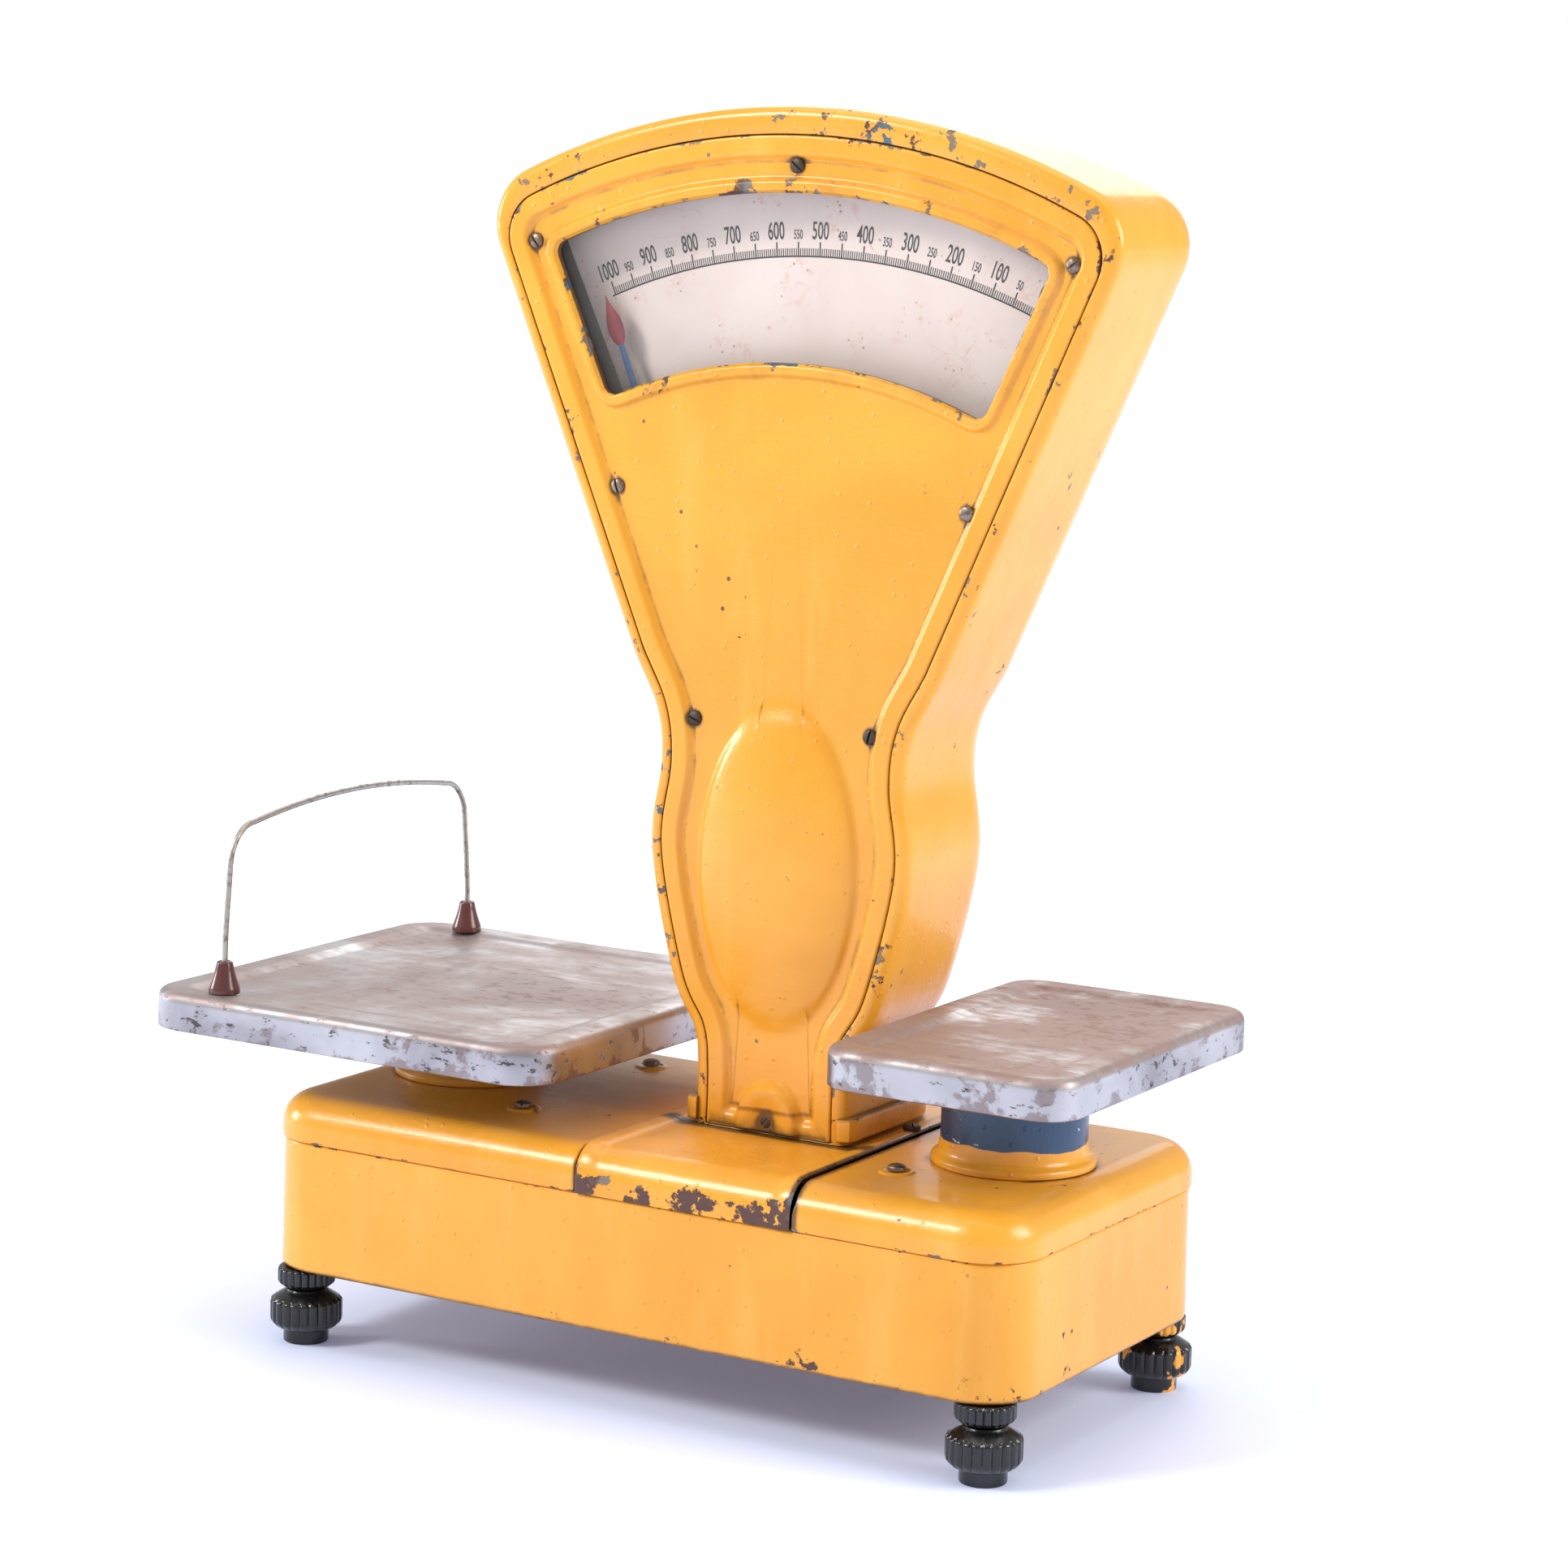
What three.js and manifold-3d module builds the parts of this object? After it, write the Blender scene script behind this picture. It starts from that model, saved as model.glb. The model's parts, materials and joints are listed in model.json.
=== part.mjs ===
// A two-pan counter scale with a fan-shaped dial head: an equal-arm beam in a cast base carries a goods
// pan and a weights pan, and a rod from the beam turns the pointers. Millimetres, +Z up, X along the beam
// and Y from the front to the back. The pieces are placed about the fulcrum, and the group is moved at
// the end.
import * as THREE from "three";
import { mergeVertices } from "three/addons/utils/BufferGeometryUtils.js";
import Module from "manifold-3d";

const wasm = await Module();
wasm.setup();

// Clearances
const touchGap = 0.3; // kept where two pieces touch
const runningGap = 0.4; // on the radius, round a pin or shaft that turns or slides
const seamGap = 0.7; // between two lid castings

// Beam and pan travel
const armLength = 163;
const panTravel = 20;
const dialAngle = THREE.MathUtils.degToRad(45.4); // swept by the pointers over the pan travel
const beamAngle = 2 * Math.asin(panTravel / 2 / armLength);

// Base
const endMargin = 57; // from a pan post to the end of the base
const baseDepth = 216;
const baseCorner = 29;
const baseWall = 4;
const baseDraft = 0.8; // how far the walls lean out at the bottom
const footHeight = 40.5;
const housingHeight = 69.2;
const lidHeight = 22.7;
const lidOverhang = 1.3;
const lidRound = 16;
const plateMargin = 13.4; // from the column collar to the seam of the centre plates
const lipWidth = 10;
const lipHeight = 2;

// Levelling feet
const footEndInset = 19;
const footSideInset = 14;
const studRadius = 4;
const padRadius = 11.8;
const padHeight = 8;
const knobRadius = 18.8;
const knobHeight = 21;
const lockRadius = 15;
const lockHeight = 10.5;

// Necks round the pan posts
const neckRadius = 36.7;
const neckFlare = 4.6;
const neckHeight = 33.5;
const neckWall = 4;

// Pans
const goodsPan = { length: 248.6, depth: 253, offset: 0, corner: 24 };
const weightsPan = { length: 134.5, depth: 217.4, offset: 12.8, corner: 20 };
const panRim = 20;
const panWall = 2.2;
const panRound = 5;
const panBorder = 17;
const panRecess = 2;
const panClearance = 16.6; // between the top of a neck and the top of a lowered pan

// Guard wire on the goods pan
const guardEndInset = 43;
const guardSideInset = 16.5;
const guardHeight = 88;
const guardRise = 7; // of the middle of the top bar above its bends
const guardBend = 20;
const guardWireRadius = 1.75;
const guardFoot = { base: 8.2, top: 4.1, height: 17 };

// Column and head, placed about the pointer shaft
const columnOffset = 37; // from the fulcrum to the middle of the column
const coverFront = -27.7;
const headDepth = 99.2;
const headBackRound = 30;
const headWall = 3.5;
const casingLip = 5; // how far the casing's front lip reaches in behind the cover's edge
const headSideLip = 8; // casing beyond the cover at the sides
const headTopLip = 14; // casing beyond the cover at the top
const pivotRise = 130.8; // above the lids
const windowInner = 258;
const windowOuter = 341;
const windowHalfAngle = THREE.MathUtils.degToRad(24.5);
const windowCorner = 6;
const coverTopMargin = 28;
const coverCorner = 22;
const flankOffset = 30.5; // from the shaft to the straight flank
const flankTaper = THREE.MathUtils.degToRad(1.1); // the flank is steeper than the window's side by this
const flankStart = 134.9;
const belly = { halfWidth: 67.4, rise: 9.4 };
const waist = { halfWidth: 62.8, rise: 54 };
const ankle = { halfWidth: 36.3, drop: 100 };

// Front cover
const coverFlange = 10.5;
const coverStep = 3;
const coverSheet = 2.6;
const windowRim = 7.5;
const windowRimHeight = 2.6;
const bulge = { halfWidth: 47, halfHeight: 84, depth: 14, rise: 5, wall: 2.5 };
const coverScrewInset = 14.5;
const footScrewRise = 6.8; // of the cover's lowest screw above the foot of the column
const footBossRadius = 17;
const lugHalf = 5; // the lugs inside the casing that take the cover's screws
const lugDepth = 14;

// Dial, glass and pointers
const glassThickness = 3;
const glassLap = 4;
const dialDrop = 27; // from the face of the cover to the face of the dial
const dialThickness = 1.2;
const dialLap = { low: 22, high: 9, side: THREE.MathUtils.degToRad(1.1) }; // dial beyond the window
const pointerDrop = 16.5; // from the face of the cover to the pointer
const pointerLap = 52; // from the window's lower edge to the pointer's tip
const pointerHub = 11;
const pointerThickness = 1.2;
const rearWindowInset = 9;

// Mechanism
const shaftRadius = 2.5;
const beamHeight = 98; // of the fulcrum above the floor it stands on
const beamBar = { thickness: 8, height: 18, spread: 38 };
const rodRadius = 4;
const smallRodRadius = 2.5; // of the rods that the link and the damper hang from
const eyeRadius = 5.5;
const eyePlay = 0.6;
const checkDrop = 32; // of the check lever below the beam
const checkBar = { thickness: 10, height: 12 };
const checkPin = 3;
const postRadius = 8;
const spiderRadius = 30;
const hangerSpread = 18;
const damperReach = 75;
const damperSide = 20.5;
const damperRadius = 12.5;
const damperHeight = 38;
const linkSide = 28;
const linkRadius = 2;
const crankPinRadius = 1.2;
const bobReach = 58;
const bobRadius = 17;

// Screws
const screwShank = 2.5;
const lidScrewInset = { left: 70.3, right: 35.7 }; // from the pan posts towards the middle
const lidScrewRows = { front: -55, back: 68 };
const lidPillarRadius = 7;
const lidPadRadius = 9; // raised pads under the heads of the lid screws
const lidPadHeight = 1.2;
const coverScrew = { head: 3.9, rise: 2.2, length: 15, slot: 1.1 };
const lidScrew = { head: 4.6, rise: 3, length: 20, slot: 1.2 };

// Worked out from the sizes above
const baseHalf = armLength + endMargin;
const housingTop = footHeight + housingHeight;
const lidTop = housingTop + lidHeight;
const neckTop = lidTop + neckHeight;
const loweredPanTop = neckTop + panClearance;
const pivotHeight = lidTop + pivotRise;
const dialInner = windowInner - dialLap.low;
const dialOuter = windowOuter + dialLap.high;
const dialHalfAngle = windowHalfAngle + dialLap.side;
const coverTopRadius = windowOuter + coverTopMargin;
const headBack = coverFront + headDepth;
const casingFront = coverFront + coverSheet + touchGap;
const flankAngle = windowHalfAngle - flankTaper;
const collarThickness = 4.6;
const casingFootHalf = ankle.halfWidth + headSideLip;
const plateHalf = casingFootHalf + collarThickness + plateMargin;
const footX = baseHalf - footEndInset;
const footY = baseDepth / 2 - footSideInset;
const restTilt = -beamAngle / 2; // the goods end hangs low when the pans are empty
const restPointer = -dialAngle / 2;
const crankReach = (columnOffset * beamAngle) / (dialAngle - beamAngle);
const linkX = columnOffset + crankReach;
const floorTop = footHeight + baseWall;

const yellow = { color: 0xe6a92e, roughness: 0.42, metalness: 0 };
const finishes = {
  enamel: new THREE.MeshStandardMaterial(yellow),
  aluminium: new THREE.MeshStandardMaterial({ color: 0xbdb8b4, roughness: 0.38, metalness: 0.9 }),
  phenolic: new THREE.MeshStandardMaterial({ color: 0x121110, roughness: 0.25, metalness: 0 }),
  brownPhenolic: new THREE.MeshStandardMaterial({ color: 0x3a1a14, roughness: 0.3, metalness: 0 }),
  steel: new THREE.MeshStandardMaterial({ color: 0xa7a29a, roughness: 0.35, metalness: 1 }),
  darkSteel: new THREE.MeshStandardMaterial({ color: 0x4a4642, roughness: 0.5, metalness: 0.9 }),
  castIron: new THREE.MeshStandardMaterial({ color: 0x4f5357, roughness: 0.6, metalness: 0.4 }),
  dialPaper: new THREE.MeshStandardMaterial({ color: 0xe6ddcf, roughness: 0.6, metalness: 0 }),
  pointerBlue: new THREE.MeshStandardMaterial({ color: 0x1d3f66, roughness: 0.4, metalness: 0.2 }),
  glass: new THREE.MeshStandardMaterial({
    color: 0xdfe8e6,
    roughness: 0.05,
    metalness: 0,
    transparent: true,
    opacity: 0.3,
  }),
};

// ---- Solids ----

// A closed geometry as a solid; faces that point inwards are turned round.
function solid(geometry) {
  const bare = new THREE.BufferGeometry();
  const flat = geometry.index ? geometry.toNonIndexed() : geometry;
  bare.setAttribute("position", flat.getAttribute("position"));
  const merged = mergeVertices(bare, 1e-4);
  const mesh = { numProp: 3, vertProperties: merged.attributes.position.array };
  const faces = new Uint32Array(merged.index.array);
  const made = new wasm.Manifold(new wasm.Mesh({ ...mesh, triVerts: faces }));
  if (made.volume() > 0) return made;
  return new wasm.Manifold(new wasm.Mesh({ ...mesh, triVerts: faces.toReversed() }));
}

// A solid as a geometry with flat normals.
function geometryOf(made) {
  const mesh = made.getMesh();
  const geometry = new THREE.BufferGeometry();
  geometry.setAttribute("position", new THREE.BufferAttribute(mesh.vertProperties, mesh.numProp));
  geometry.setIndex(new THREE.BufferAttribute(mesh.triVerts, 1));
  const flat = geometry.toNonIndexed();
  flat.computeVertexNormals();
  return flat;
}

const join = (...parts) => parts.reduce((sum, part) => sum.add(part));
const cut = (body, ...tools) => tools.reduce((left, tool) => left.subtract(tool), body);

// A box between two corners.
function block(low, high) {
  const size = high.map((value, i) => value - low[i]);
  const geometry = new THREE.BoxGeometry(...size);
  geometry.translate(...low.map((value, i) => value + size[i] / 2));
  return solid(geometry);
}

// A round bar along an axis, from one end to the other, centred at the two other coordinates.
function bar(axis, radius, from, to, centre, sides = 12) {
  const geometry = new THREE.CylinderGeometry(radius, radius, to - from, sides);
  const middle = (from + to) / 2;
  if (axis === "x") geometry.rotateZ(Math.PI / 2).translate(middle, centre[0], centre[1]);
  if (axis === "y") geometry.translate(centre[0], middle, centre[1]);
  if (axis === "z") geometry.rotateX(Math.PI / 2).translate(centre[0], centre[1], middle);
  return solid(geometry);
}

// A turned solid about Z from a closed profile of [radius, height] points.
function turned(profile, segments = 24) {
  const points = profile.map(([radius, height]) => new THREE.Vector2(radius, height));
  const geometry = new THREE.LatheGeometry(points, segments);
  geometry.rotateX(Math.PI / 2);
  return solid(geometry);
}

// A plan outline of [x, y] points, raised between two heights.
function planPrism(points, bottom, top) {
  const shape = new THREE.Shape(points.map(([x, y]) => new THREE.Vector2(x, y)));
  const geometry = new THREE.ExtrudeGeometry(shape, { depth: top - bottom, bevelEnabled: false });
  geometry.translate(0, 0, bottom);
  return solid(geometry);
}

// A front outline of [x, z] points, carried from the front to the back.
function frontPrism(points, front, back) {
  const shape = new THREE.Shape(points.map(([x, z]) => new THREE.Vector2(x, z)));
  const geometry = new THREE.ExtrudeGeometry(shape, { depth: back - front, bevelEnabled: false });
  geometry.rotateX(Math.PI / 2).translate(0, back, 0);
  return solid(geometry);
}

// Closed loops with the same number of points, skinned in order and capped at both ends.
function loft(loops) {
  const count = loops[0].length;
  const position = loops.flat(2);
  const index = [];
  for (let layer = 0; layer + 1 < loops.length; layer++) {
    for (let i = 0; i < count; i++) {
      const next = (i + 1) % count;
      const a = layer * count;
      const b = a + count;
      index.push(a + i, a + next, b + next, a + i, b + next, b + i);
    }
  }
  const first = loops[0];
  const flatAxis = first.every((point) => Math.abs(point[2] - first[0][2]) < 1e-6) ? 2 : 1;
  const contour = first.map((point) => new THREE.Vector2(point[0], point[3 - flatAxis]));
  const capFaces = THREE.ShapeUtils.triangulateShape(contour, []);
  const last = (loops.length - 1) * count;
  const area = THREE.ShapeUtils.area(contour);
  for (const [i, j, k] of capFaces) {
    const turn = THREE.ShapeUtils.area([contour[i], contour[j], contour[k]]) * area > 0;
    const [p, q] = turn ? [j, k] : [k, j];
    index.push(i, q, p);
    index.push(last + i, last + p, last + q);
  }
  const geometry = new THREE.BufferGeometry();
  geometry.setAttribute("position", new THREE.Float32BufferAttribute(position, 3));
  geometry.setIndex(index);
  return solid(geometry);
}

// ---- Outlines ----

// A rectangle with round corners about the origin, as [x, y] points.
function roundedRectangle(length, depth, radius, segments = 4) {
  const points = [];
  const corners = [[1, 1, 0], [-1, 1, 1], [-1, -1, 2], [1, -1, 3]];
  for (const [sideX, sideY, quarter] of corners) {
    for (let i = 0; i <= segments; i++) {
      const angle = ((quarter + i / segments) * Math.PI) / 2;
      const x = sideX * (length / 2 - radius) + radius * Math.cos(angle);
      const y = sideY * (depth / 2 - radius) + radius * Math.sin(angle);
      points.push([x, y]);
    }
  }
  return points;
}

// A right half outline, bottom to top, closed by its mirror image.
function mirrored(half) {
  const left = half
    .filter(([x]) => x > 1e-6)
    .map(([x, z]) => [-x, z])
    .reverse();
  return [...half, ...left];
}

// A sector of a ring about the origin with rounded corners; angles are measured from straight up.
// Each corner is an arc whose centre lies one corner radius inside both of the edges that meet there.
function ringSector(inner, outer, halfAngle, corner, arcSteps = 6) {
  const direction = (angle) => [Math.sin(angle), Math.cos(angle)];
  const half = [];
  const outerTurn = Math.asin(corner / (outer - corner));
  const innerTurn = Math.asin(corner / (inner + corner));
  for (let i = 0; i < arcSteps; i++) {
    const [x, z] = direction(((halfAngle - innerTurn) * i) / arcSteps);
    half.push([x * inner, z * inner]);
  }
  const fillet = (reach, turn, from, to) => {
    const [centreX, centreZ] = direction(halfAngle - turn);
    for (let i = 0; i <= 3; i++) {
      const [x, z] = direction(from + ((to - from) * i) / 3);
      half.push([centreX * reach + x * corner, centreZ * reach + z * corner]);
    }
  };
  const side = halfAngle + Math.PI / 2;
  fillet(inner + corner, innerTurn, halfAngle - innerTurn + Math.PI, side);
  fillet(outer - corner, outerTurn, side, halfAngle - outerTurn);
  for (let i = arcSteps - 1; i >= 0; i--) {
    const [x, z] = direction(((halfAngle - outerTurn) * i) / arcSteps);
    half.push([x * outer, z * outer]);
  }
  return mirrored(half);
}

// The head's outline about the pointer shaft: a straight ankle, a spline round the belly and waist, a
// straight flank and an arc about the shaft, with a rounded corner where the flank meets the arc.
// The sides are moved inwards by sideInset, and the top by topInset.
function headOutline(sideInset, topInset, cornerInset = sideInset) {
  const foot = -pivotRise + touchGap;
  const grow = (part) => ankle.halfWidth + part * (belly.halfWidth - ankle.halfWidth);
  const along = [Math.sin(flankAngle), Math.cos(flankAngle)];
  const outward = [Math.cos(flankAngle), -Math.sin(flankAngle)];
  const flankPoint = (distance, inset) => [
    outward[0] * (flankOffset - inset) + along[0] * distance,
    outward[1] * (flankOffset - inset) + along[1] * distance,
  ];
  const shoulder = flankPoint(flankStart, 0);
  const knots = [
    [ankle.halfWidth, foot],
    [ankle.halfWidth, -ankle.drop],
    [grow(0.1), -0.79 * ankle.drop],
    [grow(0.54), -0.53 * ankle.drop],
    [belly.halfWidth, belly.rise],
    [waist.halfWidth, waist.rise],
    [(waist.halfWidth + shoulder[0]) / 2 - 5.5, (waist.rise + shoulder[1]) / 2],
    shoulder,
    flankPoint(flankStart + 30, 0),
  ];
  const curve = new THREE.SplineCurve(knots.map(([x, z]) => new THREE.Vector2(x, z)));
  const half = [];
  const steps = 13;
  const stop = (knots.length - 2) / (knots.length - 1);
  for (let i = 0; i <= steps; i++) {
    const t = (stop * i) / steps;
    const point = curve.getPoint(t);
    const tangent = curve.getTangent(Math.max(t, 1e-3));
    const drop = i === 0 ? 0 : tangent.x * sideInset;
    half.push([point.x - tangent.y * sideInset, point.y + drop]);
  }
  half[0] = [ankle.halfWidth - sideInset, foot];
  const topRadius = coverTopRadius - topInset;
  const corner = Math.max(coverCorner - cornerInset, 3);
  const reach = topRadius - corner;
  const flankSide = flankOffset - sideInset - corner;
  const distance = Math.sqrt(reach * reach - flankSide * flankSide);
  const centre = flankPoint(distance, sideInset + corner);
  const start = Math.PI / 2 + flankAngle;
  const end = Math.atan2(centre[0], centre[1]);
  for (let i = 0; i <= 3; i++) {
    const angle = start + ((end - start) * i) / 3;
    half.push([centre[0] + corner * Math.sin(angle), centre[1] + corner * Math.cos(angle)]);
  }
  for (let i = 1; i <= 6; i++) {
    const angle = end * (1 - i / 6);
    half.push([topRadius * Math.sin(angle), topRadius * Math.cos(angle)]);
  }
  return mirrored(half);
}

const placed = (outline, y) => outline.map(([x, z]) => [x, y, z]);
const raised = (outline, z) => outline.map(([x, y]) => [x, y, z]);

// A cross-section of the column: straight at the front and sides, with round back corners.
function columnSection(grow) {
  const half = casingFootHalf + grow;
  const back = headBack + grow;
  const radius = headBackRound + grow;
  const points = [[-half, casingFront], [half, casingFront]];
  for (let i = 0; i <= 6; i++) {
    const angle = ((i / 6) * Math.PI) / 2;
    points.push([half - radius + radius * Math.cos(angle), back - radius + radius * Math.sin(angle)]);
  }
  for (let i = 0; i <= 6; i++) {
    const angle = ((1 + i / 6) * Math.PI) / 2;
    points.push([-half + radius + radius * Math.cos(angle), back - radius + radius * Math.sin(angle)]);
  }
  return points;
}

// ---- The scene graph ----

const scale = new THREE.Group();
const head = new THREE.Group();
head.position.set(columnOffset, 0, pivotHeight);
scale.add(head);

function add(parent, name, made, finish) {
  const mesh = new THREE.Mesh(geometryOf(made), finishes[finish]);
  mesh.name = name;
  parent.add(mesh);
  return mesh;
}

// Places of the screws through the lids into the pillars of the housing.
const lidScrews = [
  [lidScrewInset.left - armLength, lidScrewRows.front],
  [armLength - lidScrewInset.right, lidScrewRows.front],
  [lidScrewInset.left - armLength, lidScrewRows.back],
  [armLength - lidScrewInset.right, lidScrewRows.back],
];

// ---- Base ----

function housing() {
  const draft = (grow, z) =>
    raised(roundedRectangle(2 * (baseHalf + grow), baseDepth + 2 * grow, baseCorner + grow), z);
  const outside = loft([draft(baseDraft, footHeight), draft(0, housingTop - touchGap)]);
  const inside = loft([draft(-baseWall, floorTop), draft(-baseWall, housingTop + 1)]);
  let tray = cut(outside, inside);
  for (const [x, y] of lidScrews) {
    const pillar = bar("z", lidPillarRadius, floorTop - 1, lidTop - baseWall - touchGap, [x, y], 8);
    const hole = bar("z", screwShank + touchGap, lidTop - lidScrew.length - 4, lidTop, [x, y], 8);
    tray = join(tray, pillar).subtract(hole);
  }
  for (const side of [-1, 1]) {
    for (const end of [-1, 1]) {
      const centre = [end * footX, side * footY];
      const boss = bar("z", 9, floorTop - 1, floorTop + 12, centre);
      const hole = bar("z", studRadius + runningGap, footHeight - 1, floorTop + 13, centre);
      tray = join(tray, boss).subtract(hole);
    }
  }
  add(scale, "base_housing", tray, "enamel");
}

// The lid castings are cut from one rounded tray turned upside down.
function lids() {
  const loop = (inset, z) => {
    const grow = lidOverhang - inset;
    const corner = Math.max(baseCorner + grow, 4);
    return raised(roundedRectangle(2 * (baseHalf + grow), baseDepth + 2 * grow, corner), z);
  };
  const dome = (inset, drop, bottom) => {
    const layers = [loop(inset, bottom)];
    const round = lidRound - inset;
    for (let i = 0; i <= 3; i++) {
      const angle = ((i / 3) * Math.PI) / 2;
      const height = lidTop - drop - round * (1 - Math.sin(angle));
      layers.push(loop(inset + round * (1 - Math.cos(angle)), height));
    }
    return loft(layers);
  };
  const shell = cut(dome(0, 0, housingTop), dome(baseWall, baseWall, housingTop - 1));
  const farBack = baseDepth;
  const left = columnOffset - plateHalf;
  const right = columnOffset + plateHalf;
  const split = coverFront;
  const bottom = housingTop - 2;
  const top = lidTop + 9;
  const half = seamGap / 2;
  const region = (low, high, front, back) => block([low, front, bottom], [high, back, top]);
  const screwHole = ([x, y]) => bar("z", screwShank + touchGap, bottom, top, [x, y], 8);
  const holes = lidScrews.map(screwHole);
  const postHole = (x) => bar("z", neckRadius - neckWall - 2, bottom, top, [x, 0], 20);
  const padTop = lidTop + lidPadHeight;
  const pads = lidScrews.map(([x, y]) => bar("z", lidPadRadius, lidTop - 1, padTop, [x, y], 16));
  const leftShell = shell.intersect(region(-2 * baseHalf, left - half, -farBack, farBack));
  const rightShell = shell.intersect(region(right + half, 2 * baseHalf, -farBack, farBack));
  const leftLid = join(leftShell, pads[0], pads[2]);
  const rightLid = join(rightShell, pads[1], pads[3]);
  add(scale, "left_lid", cut(leftLid, holes[0], holes[2], postHole(-armLength)), "enamel");
  add(scale, "right_lid", cut(rightLid, holes[1], holes[3], postHole(armLength)), "enamel");

  // The centre plates have raised lips along their seams.
  const lip = (x, front, back) => block([x, front, lidTop - 1], [x + lipWidth, back, lidTop + lipHeight]);
  const lipFront = -baseDepth / 2 + lidRound;
  const lipBack = baseDepth / 2 - lidRound;
  const plate = (front, back) => shell.intersect(region(left + half, right - half, front, back));
  const frontPlate = join(
    plate(-farBack, split - half),
    lip(left + half, lipFront, split - half),
    lip(right - half - lipWidth, lipFront, split - half),
  );
  add(scale, "front_centre_cover", frontPlate, "enamel");
  const slot = block([linkX - 7, linkSide - 12, bottom], [linkX + 7, linkSide + 8, top]);
  const rearPlate = join(
    plate(split + half, farBack),
    lip(left + half, split + half, lipBack),
    lip(right - half - lipWidth, split + half, lipBack),
  );
  const screwAt = [columnOffset + plateHalf - lipWidth / 2, 20];
  const plugHole = bar("z", screwShank + touchGap, bottom, top, screwAt, 8);
  add(scale, "rear_centre_cover", cut(rearPlate, slot, plugHole), "enamel");
  slottedScrew(scale, "centre_cover_screw", [...screwAt, lidTop + lipHeight], "up", lidScrew, "darkSteel");
}

// A slotted screw with a domed head; it is turned upwards or towards the front.
function slottedScrew(parent, name, place, way, size, finish) {
  const { head: radius, rise, length, slot } = size;
  const profile = [
    [0, touchGap + rise],
    [radius * 0.6, touchGap + rise * 0.8],
    [radius * 0.93, touchGap + rise * 0.4],
    [radius, touchGap],
    [screwShank, touchGap],
    [screwShank, -length],
    [0, -length],
  ];
  const blank = turned(profile, 8);
  const groove = block([-radius - 1, -slot / 2, touchGap + rise * 0.5], [radius + 1, slot / 2, rise + 2]);
  const mesh = add(parent, name, cut(blank, groove), finish);
  if (way === "front") mesh.rotation.set(Math.PI / 2, 0, 0.7);
  mesh.position.set(...place);
}

function lidFasteners() {
  lidScrews.forEach(([x, y], i) => {
    slottedScrew(scale, "lid_screw_" + (i + 1), [x, y, lidTop + lidPadHeight], "up", lidScrew, "steel");
  });
}

function necks() {
  const inner = neckRadius - neckWall;
  const foot = lidTop + touchGap;
  const profile = [
    [inner, foot],
    [neckRadius + neckFlare, foot],
    [neckRadius + neckFlare, foot + 3],
    [neckRadius + 1.2, foot + 6],
    [neckRadius, foot + 10],
    [neckRadius, neckTop - 3],
    [neckRadius - 2, neckTop],
    [inner, neckTop],
    [inner, foot],
  ];
  for (const [name, side] of [["left_neck", -1], ["right_neck", 1]]) {
    const mesh = add(scale, name, turned(profile, 24), "enamel");
    mesh.position.x = side * armLength;
  }
}

function levellingFeet() {
  const bore = studRadius + touchGap;
  const lockBottom = footHeight - touchGap - lockHeight;
  const boreFloor = 5;
  const lockProfile = [
    [bore, lockBottom],
    [lockRadius - 1.5, lockBottom],
    [lockRadius, lockBottom + 1.5],
    [lockRadius, footHeight - touchGap - 1],
    [lockRadius - 1, footHeight - touchGap],
    [bore, footHeight - touchGap],
    [bore, lockBottom],
  ];
  const knobProfile = [
    [0, 0],
    [padRadius, 0],
    [padRadius, padHeight],
    [knobRadius - 1.5, padHeight],
    [knobRadius, padHeight + 1.5],
    [knobRadius, padHeight + knobHeight - 2],
    [knobRadius - 2, padHeight + knobHeight],
    [bore, padHeight + knobHeight],
    [bore, boreFloor],
    [0, boreFloor],
  ];
  const places = [
    ["front_left", -footX, -footY],
    ["front_right", footX, -footY],
    ["back_left", -footX, footY],
    ["back_right", footX, footY],
  ];
  for (const [name, x, y] of places) {
    const foot = new THREE.Group();
    foot.position.set(x, y, 0);
    scale.add(foot);
    add(foot, name + "_foot_knob", turned(knobProfile, 16), "phenolic");
    const stud = bar("z", studRadius, boreFloor + touchGap, floorTop + 16, [0, 0], 12);
    add(foot, name + "_foot_stud", stud, "steel");
    add(foot, name + "_lock_nut", turned(lockProfile, 16), "phenolic");
  }
}

// ---- Column and head ----

const screwPlaces = (() => {
  const inset = coverScrewInset;
  const alongFlank = (distance) => {
    const side = flankOffset - inset;
    const x = side * Math.cos(flankAngle) + distance * Math.sin(flankAngle);
    const z = distance * Math.cos(flankAngle) - side * Math.sin(flankAngle);
    return [x, z];
  };
  const waistScrew = [waist.halfWidth + 2.5 - inset, waist.rise + 23];
  const low = [alongFlank(windowInner - 43), waistScrew];
  const high = alongFlank(windowOuter + 6);
  const places = [];
  for (const [x, z] of [high, ...low]) places.push([-x, z], [x, z]);
  places.push([0, coverTopRadius - inset], [0, footScrewRise - pivotRise]);
  return places;
})();

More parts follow.
